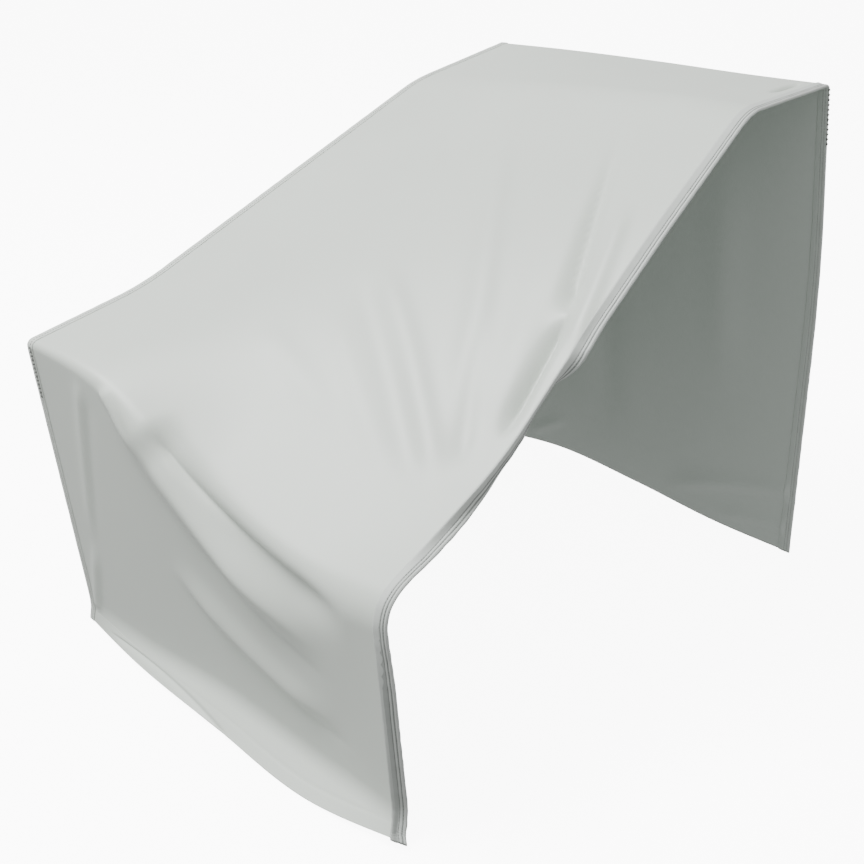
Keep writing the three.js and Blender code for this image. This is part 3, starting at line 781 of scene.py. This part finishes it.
@dataclass(frozen=True)
class TapedEdge:
    """A tape along one side edge of the main cloth, puckered a little by its stitches."""

    drape: Drape
    side: Side
    tape: Tape
    pucker: float
    tail: float = 0.0

    def base(self, inset: np.ndarray, way: np.ndarray) -> Line:
        """Points and normals of the main cloth's face at distances in from the edge.

        Args:
            inset: Distances in from the edge, rising from 0.
            way: Ways along the profile.

        Returns:
            Points and normals of shape (insets, ways, 3).
        """
        if self.side is Side.RIGHT:
            face = self.drape.face((HALF_WIDTH - inset)[::-1], way)
            return face.points[::-1], face.normals[::-1]
        face = self.drape.face(inset - HALF_WIDTH, way)
        return face.points, face.normals

    def placed(self, skin: np.ndarray, way: np.ndarray) -> np.ndarray:
        """Skin of the tape carried along the edge.

        Args:
            skin: Places (out, up) beside the edge.
            way: Ways along the profile.

        Returns:
            Points of shape (ways, places, 3).
        """
        inset = np.unique(np.concatenate([[0.0, 1.0], np.maximum(-skin[:, 0], 0.0)]))
        points, normals = self.base(inset, way)
        at = np.searchsorted(inset, np.maximum(-skin[:, 0], 0.0))
        out = unit(points[0] - points[1])
        up = normals[0]
        if self.side is Side.LEFT:
            out = np.broadcast_to(np.array([-1.0, 0.0, 0.0]), out.shape)
            up = unit(up * np.array([0.0, 1.0, 1.0]))
        over = points[at] + normals[at] * skin[:, 1][:, None, None]
        beyond = (points[0][None] + out[None] * skin[:, 0][:, None, None]
                  + up[None] * skin[:, 1][:, None, None])
        past = (skin[:, 0] > 0)[:, None, None]
        return np.moveaxis(np.where(past, beyond, over), 0, 1)

    def puckers(self, way: np.ndarray, places: int) -> np.ndarray:
        """Small waves of the tape between its stitches: a product of two sines and a third, finer one.

        Args:
            way: Ways along the profile.
            places: Number of places across the tape.

        Returns:
            Height of the waves, of shape (ways, places).
        """
        run = np.arange(len(way))[:, None] * PUCKER_STEP
        place = np.linspace(0.0, 1.0, places)[None, :]
        waves = [np.sin(run / length + lean * place + start) for length, lean, start in PUCKERS]
        return self.pucker * (waves[0] * waves[1] + FINE_PUCKER * waves[2])

    def build(self, name: str) -> bpy.types.Object:
        """The tape as one closed piece: both skins carried along the edge, the outer one puckered.

        Args:
            name: Name of the piece.

        Returns:
            The tape.
        """
        way = self.drape.rows()
        outer, inner = self.tape.skins()
        rings = [self.placed(outer, way), self.placed(inner, way)[:, ::-1]]
        outwards = unit(rings[0] - rings[1][:, ::-1])
        rings[0] = rings[0] + outwards * self.puckers(way, len(outer))[..., None]
        ring = np.concatenate(rings, axis=1)
        if self.tail:
            down = unit((ring[0] - ring[1]).mean(axis=0)) * self.tail
            ring = np.concatenate([(ring[0] + down)[None], (ring[0] + 0.5 * down)[None], ring])
        if self.side is Side.LEFT:
            ring = ring[:, ::-1]
        return Shell.sweep(name, ring, self.tape.round_length())

    def stitch_lines(self, insets: tuple[float, ...], under: bool) -> list[Line]:
        """Lines of stitches on the tape's outer skin, and below the cloth too where it wraps round.

        Args:
            insets: Distances in from the cloth's edge.
            under: Whether the tape's lower side is sewn too.

        Returns:
            Pairs of points and normals.
        """
        way = self.drape.rows()
        height = GAP + THREAD_SEAT * TAPE
        lines = []
        for inset in insets:
            points, normals = self.base(np.array([inset - 1.0, inset, inset + 1.0]), way)
            lines.append((points[1] + normals[1] * height, normals[1]))
            if under:
                lines.append((points[1] - normals[1] * (CLOTH + height), -normals[1]))
        return lines

    def rim_line(self, span: Pair, out: float, up: float) -> Line:
        """A line along part of the tape, at one place beside the cloth's edge.

        Args:
            span: Ways where the line starts and ends.
            out: Distance out from the cloth's edge.
            up: Distance along the cloth's normal.

        Returns:
            Points of the line and directions away from the cloth.
        """
        way = np.linspace(*span, RIM_POINTS)
        near, far = (self.placed(np.array([[out + k, up + k]]), way)[:, 0] for k in (0.0, 0.5))
        return near, unit(far - near)


# Centre lines of the two tapes, as (out, up) beside the cloth's edge: both lips of the edge tape are drawn
# down to the cloth at their raw edges, and it turns round the edge in a half circle. The seam tape turns
# down over the side cloth in a quarter of one. Their places lie closer together at each groove.
LIP_INSETS = (0.8, 2.0, 3.6, 4.6, 5.2, 5.8, 7.4, 8.5, 9.2, 9.9, 10.6, 11.6, 12.6, 13.6, 15.4, 17, 18.4)
LIP_UP = GAP + TAPE / 2
EDGE_BEND = CLOTH / 2 + LIP_UP
EDGE_CENTRE = (
    (-EDGE_TAPE, 0.45), (0.6 - EDGE_TAPE, 0.7),
    *((-inset, LIP_UP) for inset in reversed(LIP_INSETS)),
    *((EDGE_BEND * math.sin(turn), EDGE_BEND * math.cos(turn) - CLOTH / 2)
      for turn in np.linspace(0, math.pi, 9)),
    *((-inset, -CLOTH - LIP_UP) for inset in LIP_INSETS if inset != 5.2),
    (0.6 - EDGE_TAPE, -CLOTH - 0.7), (-EDGE_TAPE, -CLOTH - 0.45),
)
EDGE_GROOVES = (11.6, 16.5, 29.5, 34.4)  # lengths round the edge tape where its grooves run
SEAM_FACE = 2 * SEAM_GAP + CLOTH + TAPE / 2
SEAM_CENTRE = (
    (-SEAM_TAPE, 0.4), (-9.5, 0.55), (-8.8, 0.75),
    *((-inset, LIP_UP) for inset in (7.5, 6.4, 5.6, 5, 4.4, 3.4, 2, 0.8, 0, -1.2, -2.2)),
    *((SEAM_FACE - LIP_UP + LIP_UP * math.sin(turn), LIP_UP * math.cos(turn))
      for turn in np.linspace(0.3, 1.57, 5)),
    *((SEAM_FACE, -drop) for drop in (1.2, 2.4, 3.4, 4.4, 5.2, 5.7, SEAM_DROP)),
)
SEAM_GROOVES = (5.0,)


@dataclass(frozen=True)
class MainCloth:
    """Front, top and back cut in one length, with a hem turned up inside at both ends."""

    drape: Drape
    seam_columns: int = 4
    middle_columns: int = 90
    near_columns: int = 20
    near_start: float = 80.0
    near_end: float = 25.5
    edge_insets: tuple[float, ...] = (24, 22.8, 21.5, 20.3, 19, 15.5, 12, 11, 10, 9, 6, 3, 0)

    def columns(self) -> np.ndarray:
        """Places across: fine under each tape, closer near the trough and even between them.

        Returns:
            The places, rising.
        """
        under_seam = SEAM_TAPE - HALF_WIDTH
        left = np.linspace(-HALF_WIDTH, under_seam, self.seam_columns)[:-1]
        middle = np.linspace(under_seam, HALF_WIDTH - self.near_start, self.middle_columns)
        near = np.linspace(HALF_WIDTH - self.near_start, HALF_WIDTH - self.near_end, self.near_columns)[1:]
        return np.concatenate([left, middle, near, HALF_WIDTH - np.array(self.edge_insets)])

    def face(self) -> Face:
        """The cloth's outer face on the full grid."""
        return self.drape.face(self.columns(), self.drape.rows())


@dataclass(frozen=True)
class SideCloth:
    """The closed left side: a cloth stretched between the main cloth's left edge and its own hem."""

    drape: Drape
    columns: int = 170
    rows: int = 120
    hem_rows: int = 14
    hem_share: float = 0.05

    def rim(self) -> tuple[np.ndarray, ...]:
        """Front, top and back edge of the side cloth, just inside the main cloth's left edge.

        Returns:
            Points of the three edges: front and back from the hem upwards, top from the front to the back.
        """
        way = self.drape.rows()
        face = self.drape.face(np.array([-HALF_WIDTH, SEAM_TAPE / 3 - HALF_WIDTH]), way)
        edge = face.points[0] - face.normals[0] * SEAM_RECESS
        edge[:, 0] = face.points[0][:, 0] - SEAM_GAP - CLOTH
        top = edge[(way >= EDGE_WAY) & (way <= TOP_WAY + 1e-6)]
        return edge[way <= EDGE_WAY], top, edge[way >= TOP_WAY][::-1]

    def face(self) -> Face:
        """The outer face: the four edges blended, then the folds and the hem.

        The blend adds the surface ruled between hem and top to the one ruled between front and back,
        and takes away the flat surface through the four corners.

        Returns:
            The face, with columns from the back to the front.
        """
        front, top, back = self.rim()
        u = np.linspace(0.0, 1.0, self.columns)[:, None, None]
        v = self.heights()[None, :, None]
        top_line = self.even(top, u[:, 0, 0], depth=True)[:, None]
        front_line = self.even(front, v[0, :, 0])[None]
        back_line = self.even(back, v[0, :, 0])[None]
        low_line = front[0] * (1 - u) + back[0] * u
        corners = (front[0] * (1 - u) * (1 - v) + back[0] * u * (1 - v) + top[0] * (1 - u) * v
                   + top[-1] * u * v)
        grid = (low_line * (1 - v) + top_line * v + front_line * (1 - u) + back_line * u - corners)[::-1]
        y, z = grid[..., 1], grid[..., 2]
        rim = np.minimum(np.minimum(y - y[-1:], y[:1] - y), z[:, -1:] - z)
        calm = smooth(SEAM_DROP, SIDE_CALM, rim)
        seam = smooth(SEAM_DROP, HEM_CALM, rim)
        heights = calm * fold_sum(SIDE_FOLDS, y, z) + seam * hem_relief(z - z[:, :1])
        points = grid + grid_normals(grid) * heights[..., None]
        return Face(points, grid_normals(points), flat_lengths(points))

    def heights(self) -> np.ndarray:
        """Shares of the height of the rows, closer together in the hem."""
        low = np.linspace(0.0, self.hem_share, self.hem_rows, endpoint=False)
        return np.concatenate([low, np.linspace(self.hem_share, 1.0, self.rows - self.hem_rows)])

    @staticmethod
    def even(line: np.ndarray, share: np.ndarray, depth: bool = False) -> np.ndarray:
        """Points of a line at shares of its length, or of its depth along Y."""
        run = run_length(line[:, 1:2] if depth else line)
        return np.stack([np.interp(share * run[-1], run, line[:, k]) for k in range(3)], axis=-1)


class Graph:
    """Shader nodes of one material or world."""

    def __init__(self, owner: bpy.types.Material | bpy.types.World) -> None:
        """Start with no nodes.

        Args:
            owner: The material or world that the nodes are for.
        """
        owner.use_nodes = True
        self.owner = owner
        self.tree = owner.node_tree
        self.tree.nodes.clear()

    @classmethod
    def of_material(cls, name: str) -> "Graph":
        """Nodes of a new material of that name."""
        return cls(bpy.data.materials.new(name))

    def node(self, kind: str, settings: dict[str, object], sockets: dict[object, object]) -> bpy.types.Node:
        """Add a node.

        Args:
            kind: Type of the node.
            settings: Its settings by name.
            sockets: Plain values, varying Values or output sockets, by input name or number.

        Returns:
            The node.
        """
        node = self.tree.nodes.new(kind)
        for name, value in settings.items():
            setattr(node, name, value)
        for name, value in sockets.items():
            source = value.socket if isinstance(value, Value) else value
            if isinstance(source, bpy.types.NodeSocket):
                self.tree.links.new(source, node.inputs[name])
            else:
                node.inputs[name].default_value = source
        return node

    def colour(self, factor: "Value", low: object, high: object) -> bpy.types.NodeSocket:
        """Colour mixed by a factor from low to high, each a colour of three numbers or an output socket."""
        ends = {6 + i: (*end, 1.0) if isinstance(end, tuple) else end for i, end in enumerate((low, high))}
        return self.node("ShaderNodeMix", {"data_type": "RGBA"}, {0: factor, **ends}).outputs[2]

    def flat(self) -> tuple["Value", "Value"]:
        """The two flat coordinates of the piece's own UV map, in metres on cloth and tape."""
        uv = self.source("ShaderNodeUVMap", "UV", uv_map=UV_MAP)
        return tuple(self.value("ShaderNodeSeparateXYZ", {}, {0: uv}, axis) for axis in (0, 1))

    def source(self, kind: str, output: str, **settings: object) -> bpy.types.NodeSocket:
        """Output of a new node that has no inputs."""
        return self.node(kind, settings, {}).outputs[output]

    def value(self, kind: str, settings: dict[str, object], sockets: dict[object, object],
              output: int = 0) -> "Value":
        """Number that a new node gives out."""
        return Value(self, self.node(kind, settings, sockets).outputs[output])

    def noise(self, scale: float, detail: float) -> "Value":
        """Noise from 0 to 1 over the piece's place."""
        sockets = {"Vector": self.source("ShaderNodeTexCoord", "Object"), "Scale": scale, "Detail": detail}
        return self.value("ShaderNodeTexNoise", {}, sockets)

    def finish(self, sockets: dict[object, object], height: "Value", depth: float) -> bpy.types.Material:
        """Close the material: a Principled shader with a bump.

        Args:
            sockets: Inputs of the Principled shader.
            height: Relief from 0 to 1.
            depth: Depth of the relief in metres.

        Returns:
            The material.
        """
        bump = self.node("ShaderNodeBump", {}, {"Strength": BUMP, "Distance": depth, "Height": height})
        shader = self.node("ShaderNodeBsdfPrincipled", {}, {**sockets, "Normal": bump.outputs[0]})
        self.node("ShaderNodeOutputMaterial", {}, {"Surface": shader.outputs[0]})
        return self.owner


class Value:
    """A number that varies over a surface, with Python's arithmetic on it."""

    def __init__(self, graph: Graph, socket: bpy.types.NodeSocket) -> None:
        """Wrap an output socket of a graph."""
        self.graph = graph
        self.socket = socket

    def math(self, operation: str, first: object, second: object = 0.0) -> "Value":
        """A Math node on two numbers."""
        return self.graph.value("ShaderNodeMath", {"operation": operation}, {0: first, 1: second})

    def __add__(self, other: object) -> "Value":
        """Sum."""
        return self.math("ADD", self, other)

    __radd__ = __add__

    def __mul__(self, other: object) -> "Value":
        """Product."""
        return self.math("MULTIPLY", self, other)

    __rmul__ = __mul__

    def __sub__(self, other: object) -> "Value":
        """Difference."""
        return self.math("SUBTRACT", self, other)

    def __rsub__(self, other: object) -> "Value":
        """Difference with this number taken away."""
        return self.math("SUBTRACT", other, self)

    def sine(self) -> "Value":
        """Sine of the number in radians."""
        return self.math("SINE", self)

    def size(self) -> "Value":
        """The number without its sign."""
        return self.math("ABSOLUTE", self)

    def more(self, other: "Value") -> "Value":
        """The greater of this number and another."""
        return self.math("MAXIMUM", self, other)

    def bell(self) -> "Value":
        """A bell that is 1 at 0: e to the power of minus the number squared."""
        return self.math("EXPONENT", self * self * -1.0)

    def wave(self, length: float) -> "Value":
        """A sine from 0 to 1 that turns once over a length."""
        return (self * (2 * math.pi / length)).sine() * 0.5 + 0.5

    def ramp(self, low: float, high: float, start: float = 0.0, end: float = 1.0) -> "Value":
        """Smooth step from start where this number is low to end where it is high."""
        sockets = {0: self, 1: low, 2: high, 3: start, 4: end}
        return self.graph.value("ShaderNodeMapRange", {"interpolation_type": "SMOOTHSTEP"}, sockets)


@dataclass(frozen=True)
class WovenFinish:
    """A coated plain weave: yarns that cross, a faint unevenness of colour and a satin coat.

    The pitch of its yarns is in millimetres and its relief in metres.
    """

    name: str
    light: Triple
    dark: Triple
    roughness: float
    coat: float
    sheen: float
    coat_roughness: float = 0.35
    pitch: float = 1.1
    slub_scale: float = 260.0
    cloud_scale: float = 5.0
    relief: float = 0.00012

    def material(self) -> bpy.types.Material:
        """The weave as the product of two sines along the cloth's own UV map, with slubs and soft clouds.

        Returns:
            The material.
        """
        graph = Graph.of_material(self.name)
        u, v = (flat * (math.pi / (self.pitch * MM)) for flat in graph.flat())
        weave = u.sine() * v.sine() * 0.5 + 0.5
        slub, cloud = graph.noise(self.slub_scale, 2.0), graph.noise(self.cloud_scale, 3.0)
        colour = graph.colour(cloud * 0.7 + slub * 0.2 + weave * 0.1, self.dark, self.light)
        rough = self.roughness + 0.10 * (cloud - 0.5) + 0.06 * (slub - 0.5)
        sockets = {"Base Color": colour, "Roughness": rough, "Coat Weight": self.coat,
                   "Coat Roughness": self.coat_roughness, "Sheen Weight": self.sheen, "Sheen Roughness": 0.5}
        return graph.finish(sockets, weave * 0.6 + slub * 0.4, self.relief)


@dataclass(frozen=True)
class TapeFinish:
    """A ribbed tape with a faint unevenness of colour, and painted shade in lines along its grooves, in a
    band and towards its lower end.

    Widths, pitches and places across the tape are in millimetres and heights along it in metres. Each of
    the lines is a place, a width and a depth of painted shade.
    """

    name: str
    light: Triple
    dark: Triple
    # Colour of the painted shade in the grooves, in the band and at the lower end.
    shade: Triple
    under: Triple
    roughness: float = 0.5
    rib: float = 1.3
    lines: tuple[Triple, ...] = ()
    # The band is painted shade on the tape's inner half, which is turned away from the light, up to a
    # scalloped end.
    band: Pair = (3.5, 11.0)
    band_depth: float = 0.0
    band_end: Pair = (0.24, 0.385)
    band_rise: float = 0.8
    band_wave: float = 0.45
    band_fade: float = 0.8
    wave_in: float = 0.05
    stop: float = 0.01
    # Painted shade that fades out upwards from the tape's lower end.
    low_shade: float = 0.0
    low_end: Pair = (0.03, 0.22)
    scallop: float = 20.0
    turn: float = 22.5
    cloud_scale: float = 22.0
    relief: float = 0.00015

    def painted_shade(self, across: "Value", along: "Value") -> "Value":
        """Share of the painted shade: dark lines along the tape's grooves, a band with a scalloped end, and
        shade at the lower end.

        A line is a bell of the distance from its place. The band's border moves outwards from a height on,
        by a part that grows with the height and one that follows a sine, so that it ends in scallops.

        Args:
            across: Length round the tape's section from its raw edge on top.
            along: Height along the tape.

        Returns:
            The share, from 0 to 1.
        """
        inner, outer = (edge * MM for edge in self.band)
        wave = (along * (math.pi / (self.scallop * MM))).sine().size()
        low, high = self.band_end
        rise = along.ramp(low, high) * (self.band_rise * (outer - inner))
        border = rise + along.ramp(low, low + self.wave_in) * wave * (self.band_wave * (outer - inner))
        past = across.ramp(outer, outer + self.band_fade * MM)
        inside = (across - border - inner).ramp(0.0, MM) * (1 - past)
        share = inside * (1 - along.ramp(high - self.stop, high)) * self.band_depth
        share = share.more((1 - along.ramp(*self.low_end)) * self.low_shade)
        for place, width, depth in self.lines:
            away = (across - place * MM) * (1 / (width * MM))
            share = share.more(away.bell() * depth)
        return share

    def material(self) -> bpy.types.Material:
        """The ribs as a sine along the tape's length, the painted shade of its lines and band, and the
        reverse's tint underneath.

        Returns:
            The material.
        """
        graph = Graph.of_material(self.name)
        across, along = graph.flat()
        ribs = along.wave(self.rib * MM)
        yarns = across.wave(0.5 * self.rib * MM)
        cloud = graph.noise(self.cloud_scale, 3.0)
        plain = graph.colour(cloud * 0.7 + ribs * 0.3, self.dark, self.light)
        # Painted shade: the lines, the band and the lower end are mixed towards the shade colour.
        lined = graph.colour(self.painted_shade(across, along), plain, self.shade)
        colour = graph.colour(across.ramp(self.turn * MM, (self.turn + 1.0) * MM), lined, self.under)
        sockets = {"Base Color": colour, "Roughness": self.roughness + 0.12 * (cloud - 0.5),
                   "Sheen Weight": 0.1}
        return graph.finish(sockets, ribs * 0.7 + yarns * 0.3, self.relief)


@dataclass(frozen=True)
class ThreadFinish:
    """Sewing thread: two twisted plies with a soft shine."""

    name: str
    light: Triple
    dark: Triple
    twist: float = 9.0
    plies: float = 2.0
    relief: float = 0.0001

    def material(self) -> bpy.types.Material:
        """The twist as a sine over the length and the turn of each stitch.

        Returns:
            The material.
        """
        graph = Graph.of_material(self.name)
        along, turn = graph.flat()
        ply = (along * self.twist + turn * self.plies).sine() * 0.5 + 0.5
        colour = graph.colour(ply, self.dark, self.light)
        sockets = {"Base Color": colour, "Roughness": 0.45 + 0.1 * ply, "Sheen Weight": 0.15}
        return graph.finish(sockets, ply, self.relief)


@dataclass(frozen=True)
class FloorFinish:
    """Pale matt floor that glows, so that it comes out nearly white, with a barely visible unevenness."""

    name: str = "pale_floor"
    light: Triple = (0.93, 0.93, 0.93)
    dark: Triple = (0.91, 0.91, 0.91)
    glow: float = 9.0
    cloud_scale: float = 0.8
    relief: float = 0.0001

    def material(self) -> bpy.types.Material:
        """A soft noise over the floor.

        Returns:
            The material.
        """
        graph = Graph.of_material(self.name)
        cloud = graph.noise(self.cloud_scale, 2.0)
        sockets = {"Base Color": graph.colour(cloud, self.dark, self.light), "Roughness": 0.9 - 0.05 * cloud,
                   "Emission Color": (1, 1, 1, 1), "Emission Strength": self.glow}
        return graph.finish(sockets, cloud, self.relief)


@dataclass(frozen=True)
class Studio:
    """Pale floor, soft lights and the camera at the photograph's angle.

    Places and lengths are in metres here, the lens and the sensor in millimetres and angles in degrees.
    """

    azimuth: float = 43.63
    elevation: float = 25.97
    distance: float = 2.1306
    target: Triple = (-0.0066, -0.05, 0.3377)
    lens: float = 50.0
    sensor: float = 36.0
    floor_reach: float = 25.0
    floor_drop: float = 0.001
    floor_points: int = 25
    wall_height: float = 30.0
    sky: float = 0.8
    ground: float = 0.5
    haze: float = 0.15
    key_place: Triple = (-1.7, -1.9, 5.4)
    key_target: Triple = (0.0, 0.0, 0.5)
    key_size: float = 2.5
    key_power: float = 500.0

    @staticmethod
    def aimed(data: bpy.types.ID, place: Vector, aim: Vector) -> bpy.types.Object:
        """Add a camera or a light at a place, turned towards a direction.

        Args:
            data: The camera's or the light's data.
            place: Where it stands.
            aim: The direction that it looks in.

        Returns:
            The linked object.
        """
        thing = bpy.data.objects.new(data.name, data)
        thing.location = place
        thing.rotation_mode = "QUATERNION"
        thing.rotation_quaternion = aim.to_track_quat("-Z", "Y")
        bpy.context.scene.collection.objects.link(thing)
        return thing

    def camera(self) -> None:
        """Place the camera on a sphere round its target, looking at it."""
        a, e = math.radians(self.azimuth), math.radians(self.elevation)
        back = Vector((math.sin(a) * math.cos(e), -math.cos(a) * math.cos(e), math.sin(e)))
        data = bpy.data.cameras.new("camera")
        data.lens = self.lens
        data.sensor_width = self.sensor
        bpy.context.scene.camera = self.aimed(data, Vector(self.target) + back * self.distance, -back)

    def lights(self) -> None:
        """A large soft key from above the front left, and a sky that is a little dimmer below."""
        data = bpy.data.lights.new("key", "AREA")
        data.size = self.key_size
        data.energy = self.key_power
        place = Vector(self.key_place)
        self.aimed(data, place, Vector(self.key_target) - place)
        world = bpy.data.worlds.new("studio")
        graph = Graph(world)
        toward = graph.source("ShaderNodeTexCoord", "Generated")
        height = graph.value("ShaderNodeSeparateXYZ", {}, {0: toward}, 2)
        glow = height.ramp(-self.haze, self.haze, self.ground, self.sky)
        light = graph.node("ShaderNodeBackground", {}, {0: (1.0, 1.0, 1.0, 1.0), 1: glow})
        graph.node("ShaderNodeOutputWorld", {}, {0: light.outputs[0]})
        bpy.context.scene.world = world

    def floor(self) -> None:
        """Square pale floor with a wall far away on each side.

        A grid is laid flat as far as the wall and folded upright past it. Bounced and passing light
        leaves the floor out, so that it stays even and doesn't light the cover.
        """
        share = np.linspace(-1.5, 1.5, self.floor_points)
        u, v = np.meshgrid(share, share, indexing="ij")
        rise = np.clip(np.maximum(np.abs(u), np.abs(v)) - 1.0, 0.0, 0.5) * 2.0 * self.wall_height
        flat = np.stack([np.clip(u, -1.0, 1.0), np.clip(v, -1.0, 1.0)], axis=-1) * self.floor_reach
        points = np.concatenate([flat, rise[..., None] - self.floor_drop], axis=-1).reshape(-1, 3) / MM
        grid = np.arange(u.size).reshape(u.shape)
        quads = faces(grid[:-1, :-1], grid[1:, :-1], grid[1:, 1:], grid[:-1, 1:])
        uv = points[quads][..., :2].reshape(-1, 2) * MM
        floor = Shell.mesh("floor", points, quads, uv, np.zeros(len(quads)))
        floor.data.materials.append(FloorFinish().material())
        floor.visible_diffuse = False
        floor.visible_glossy = False
        floor.visible_shadow = False
        floor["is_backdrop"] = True

    def build(self) -> None:
        """Camera, lights and floor."""
        self.camera()
        self.lights()
        self.floor()


@dataclass
class SofaCover:
    """The whole cover: cloths, tapes and the stitches on them."""

    drape: Drape = field(default_factory=Drape)
    cloth: WovenFinish = WovenFinish("coated_cloth", (0.637, 0.686, 0.632), (0.577, 0.626, 0.572), 0.42,
                                     0.12, 0.08)
    reverse: WovenFinish = WovenFinish("cloth_reverse", (0.55, 0.60, 0.56), (0.50, 0.55, 0.51), 0.6, 0.0,
                                       0.1)
    # Painted shade on the edge tape: dark lines along its grooves, a band on its turned-away inner half and
    # more at its lower end.
    tape: TapeFinish = TapeFinish("binding_tape", (0.605, 0.64, 0.61), (0.505, 0.54, 0.51),
                                  (0.13, 0.145, 0.135), (0.525, 0.575, 0.535),
                                  lines=((11.8, 1.2, 0.8), (16.6, 1.3, 1.0), (20.6, 0.8, 0.4)),
                                  band_depth=0.45, low_shade=0.3)
    seam_tape: TapeFinish = TapeFinish("seam_tape", (0.64, 0.682, 0.635), (0.58, 0.622, 0.575),
                                       (0.40, 0.42, 0.40), (0.60, 0.63, 0.59), turn=40.0)
    # Dark grey thread: partly its own colour and partly painted shade, kept dark so that its stitches don't
    # lighten the painted shade of the tape's grooves.
    thread: ThreadFinish = ThreadFinish("thread", (0.30, 0.31, 0.30), (0.18, 0.19, 0.18))
    hem_thread: ThreadFinish = ThreadFinish("hem_thread", (0.64, 0.67, 0.63), (0.54, 0.57, 0.53))
    # Near-black overcast thread: partly the stitches' own colour and partly painted shade of the shadowed
    # stitch holes along the edges.
    overcast: ThreadFinish = ThreadFinish("overcast_thread_painted_shade", (0.08, 0.085, 0.08), (0.03, 0.033, 0.03))

    def dress(self, piece: bpy.types.Object, slot: str, *materials: bpy.types.Material) -> bpy.types.Object:
        """Give a piece its materials and its body.

        Args:
            piece: The piece.
            slot: The record's slot that it takes its finish from; not used.
            materials: Materials in the order of the faces' numbers.

        Returns:
            The piece.
        """
        for material in materials:
            piece.data.materials.append(material)
        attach(piece, "root")
        log.info("%s: %d faces", piece.name, len(piece.data.polygons))
        return piece

    def build(self) -> None:
        """Build and dress every piece."""
        cloth, reverse = self.cloth.material(), self.reverse.material()
        tape, seam_tape, thread = (finish.material() for finish in (self.tape, self.seam_tape, self.thread))
        hem_thread, overcast = self.hem_thread.material(), self.overcast.material()
        main_face, side_face = MainCloth(self.drape).face(), SideCloth(self.drape).face()
        main_piece = self.dress(Shell.sheet("cloth_main", main_face), "cover_cloth", cloth, reverse)
        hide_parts("main_panel")
        side_piece = self.dress(Shell.sheet("cloth_left_side", side_face), "cover_cloth", cloth, reverse)
        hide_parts("left_side_panel")
        edge = TapedEdge(self.drape, Side.RIGHT, Tape(EDGE_CENTRE, EDGE_GROOVES), pucker=0.22,
                         tail=TAPE_TAIL)
        edge_piece = self.dress(edge.build("tape_right_edge"), "binding_tape", tape)
        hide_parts("right_edge_binding")
        seam = TapedEdge(self.drape, Side.LEFT, Tape(SEAM_CENTRE, SEAM_GROOVES), pucker=0.12)
        seam_piece = self.dress(seam.build("tape_left_seam"), "binding_tape", seam_tape)
        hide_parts("left_seam_binding")
        edge_row = StitchRow().build("stitches_right_edge", edge.stitch_lines(EDGE_ROWS, under=True))
        seam_row = StitchRow().build("stitches_left_seam", seam.stitch_lines((SEAM_ROW,), under=False))
        arm_row = StitchRow(pitch=7.2, length=6.0, thread=3.0, across=True).build(
            "overcast_arm_corner", [seam.rim_line(ARM_OVERCAST, out=-5.6, up=1.5)])
        back_row = StitchRow(pitch=8.0, length=6.0, thread=4.0, across=True).build(
            "overcast_back_edge", [edge.rim_line(BACK_OVERCAST, out=1.9, up=-2.5)])
        fine = StitchRow(thread=HEM_THREAD)
        hem_row = fine.build("stitches_main_hems", [hem_line(main_face), hem_line(main_face, order=-1)])
        side_row = fine.build("stitches_side_hem", [hem_line(side_face)])
        for row in (edge_row, seam_row):
            self.dress(row, "binding_tape", thread)
        for row in (arm_row, back_row):
            self.dress(row, "binding_tape", overcast)
        for row in (hem_row, side_row):
            self.dress(row, "cover_cloth", hem_thread)
        self.declare(main_piece, main_face, [edge_piece, seam_piece, edge_row, seam_row, arm_row, back_row,
                                             hem_row])
        self.declare(side_piece, side_face, [side_row])

    @staticmethod
    def declare(piece: bpy.types.Object, face: Face, others: list[bpy.types.Object]) -> None:
        """Log the size that a cloth was cut to, and its area.

        Args:
            piece: The cloth's piece.
            face: Its outer face.
            others: Pieces that are sewn to it; not used.
        """
        width, length = np.ptp(face.flat.reshape(-1, 2), axis=0) * MM
        p = face.points
        area = 0.5 * np.linalg.norm(np.cross(p[1:, 1:] - p[:-1, :-1], p[1:, :-1] - p[:-1, 1:]),
                                    axis=-1).sum() * MM**2
        log.info("%s: cut %.3f by %.3f m, %.3f square metres", piece.name, width, length, area)
        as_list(others)


def write_sizes(cad: tuple[Vector, Vector], visual: tuple[Vector, Vector]) -> None:
    """Put the CAD box and the visual model's box into plain lists.

    Args:
        cad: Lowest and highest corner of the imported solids.
        visual: Lowest and highest corner of the finished model.
    """
    sizes = {"cad": [list(corner) for corner in cad], "visual": [list(corner) for corner in visual]}


def main() -> None:
    """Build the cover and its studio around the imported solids."""
    logging.basicConfig(level=logging.INFO, format="%(name)s: %(message)s")
    cad = tuple(corner.copy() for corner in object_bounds())
    SofaCover().build()
    Studio().build()
    bpy.context.view_layer.update()
    write_sizes(cad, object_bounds())


if __name__ == "__main__":
    main()
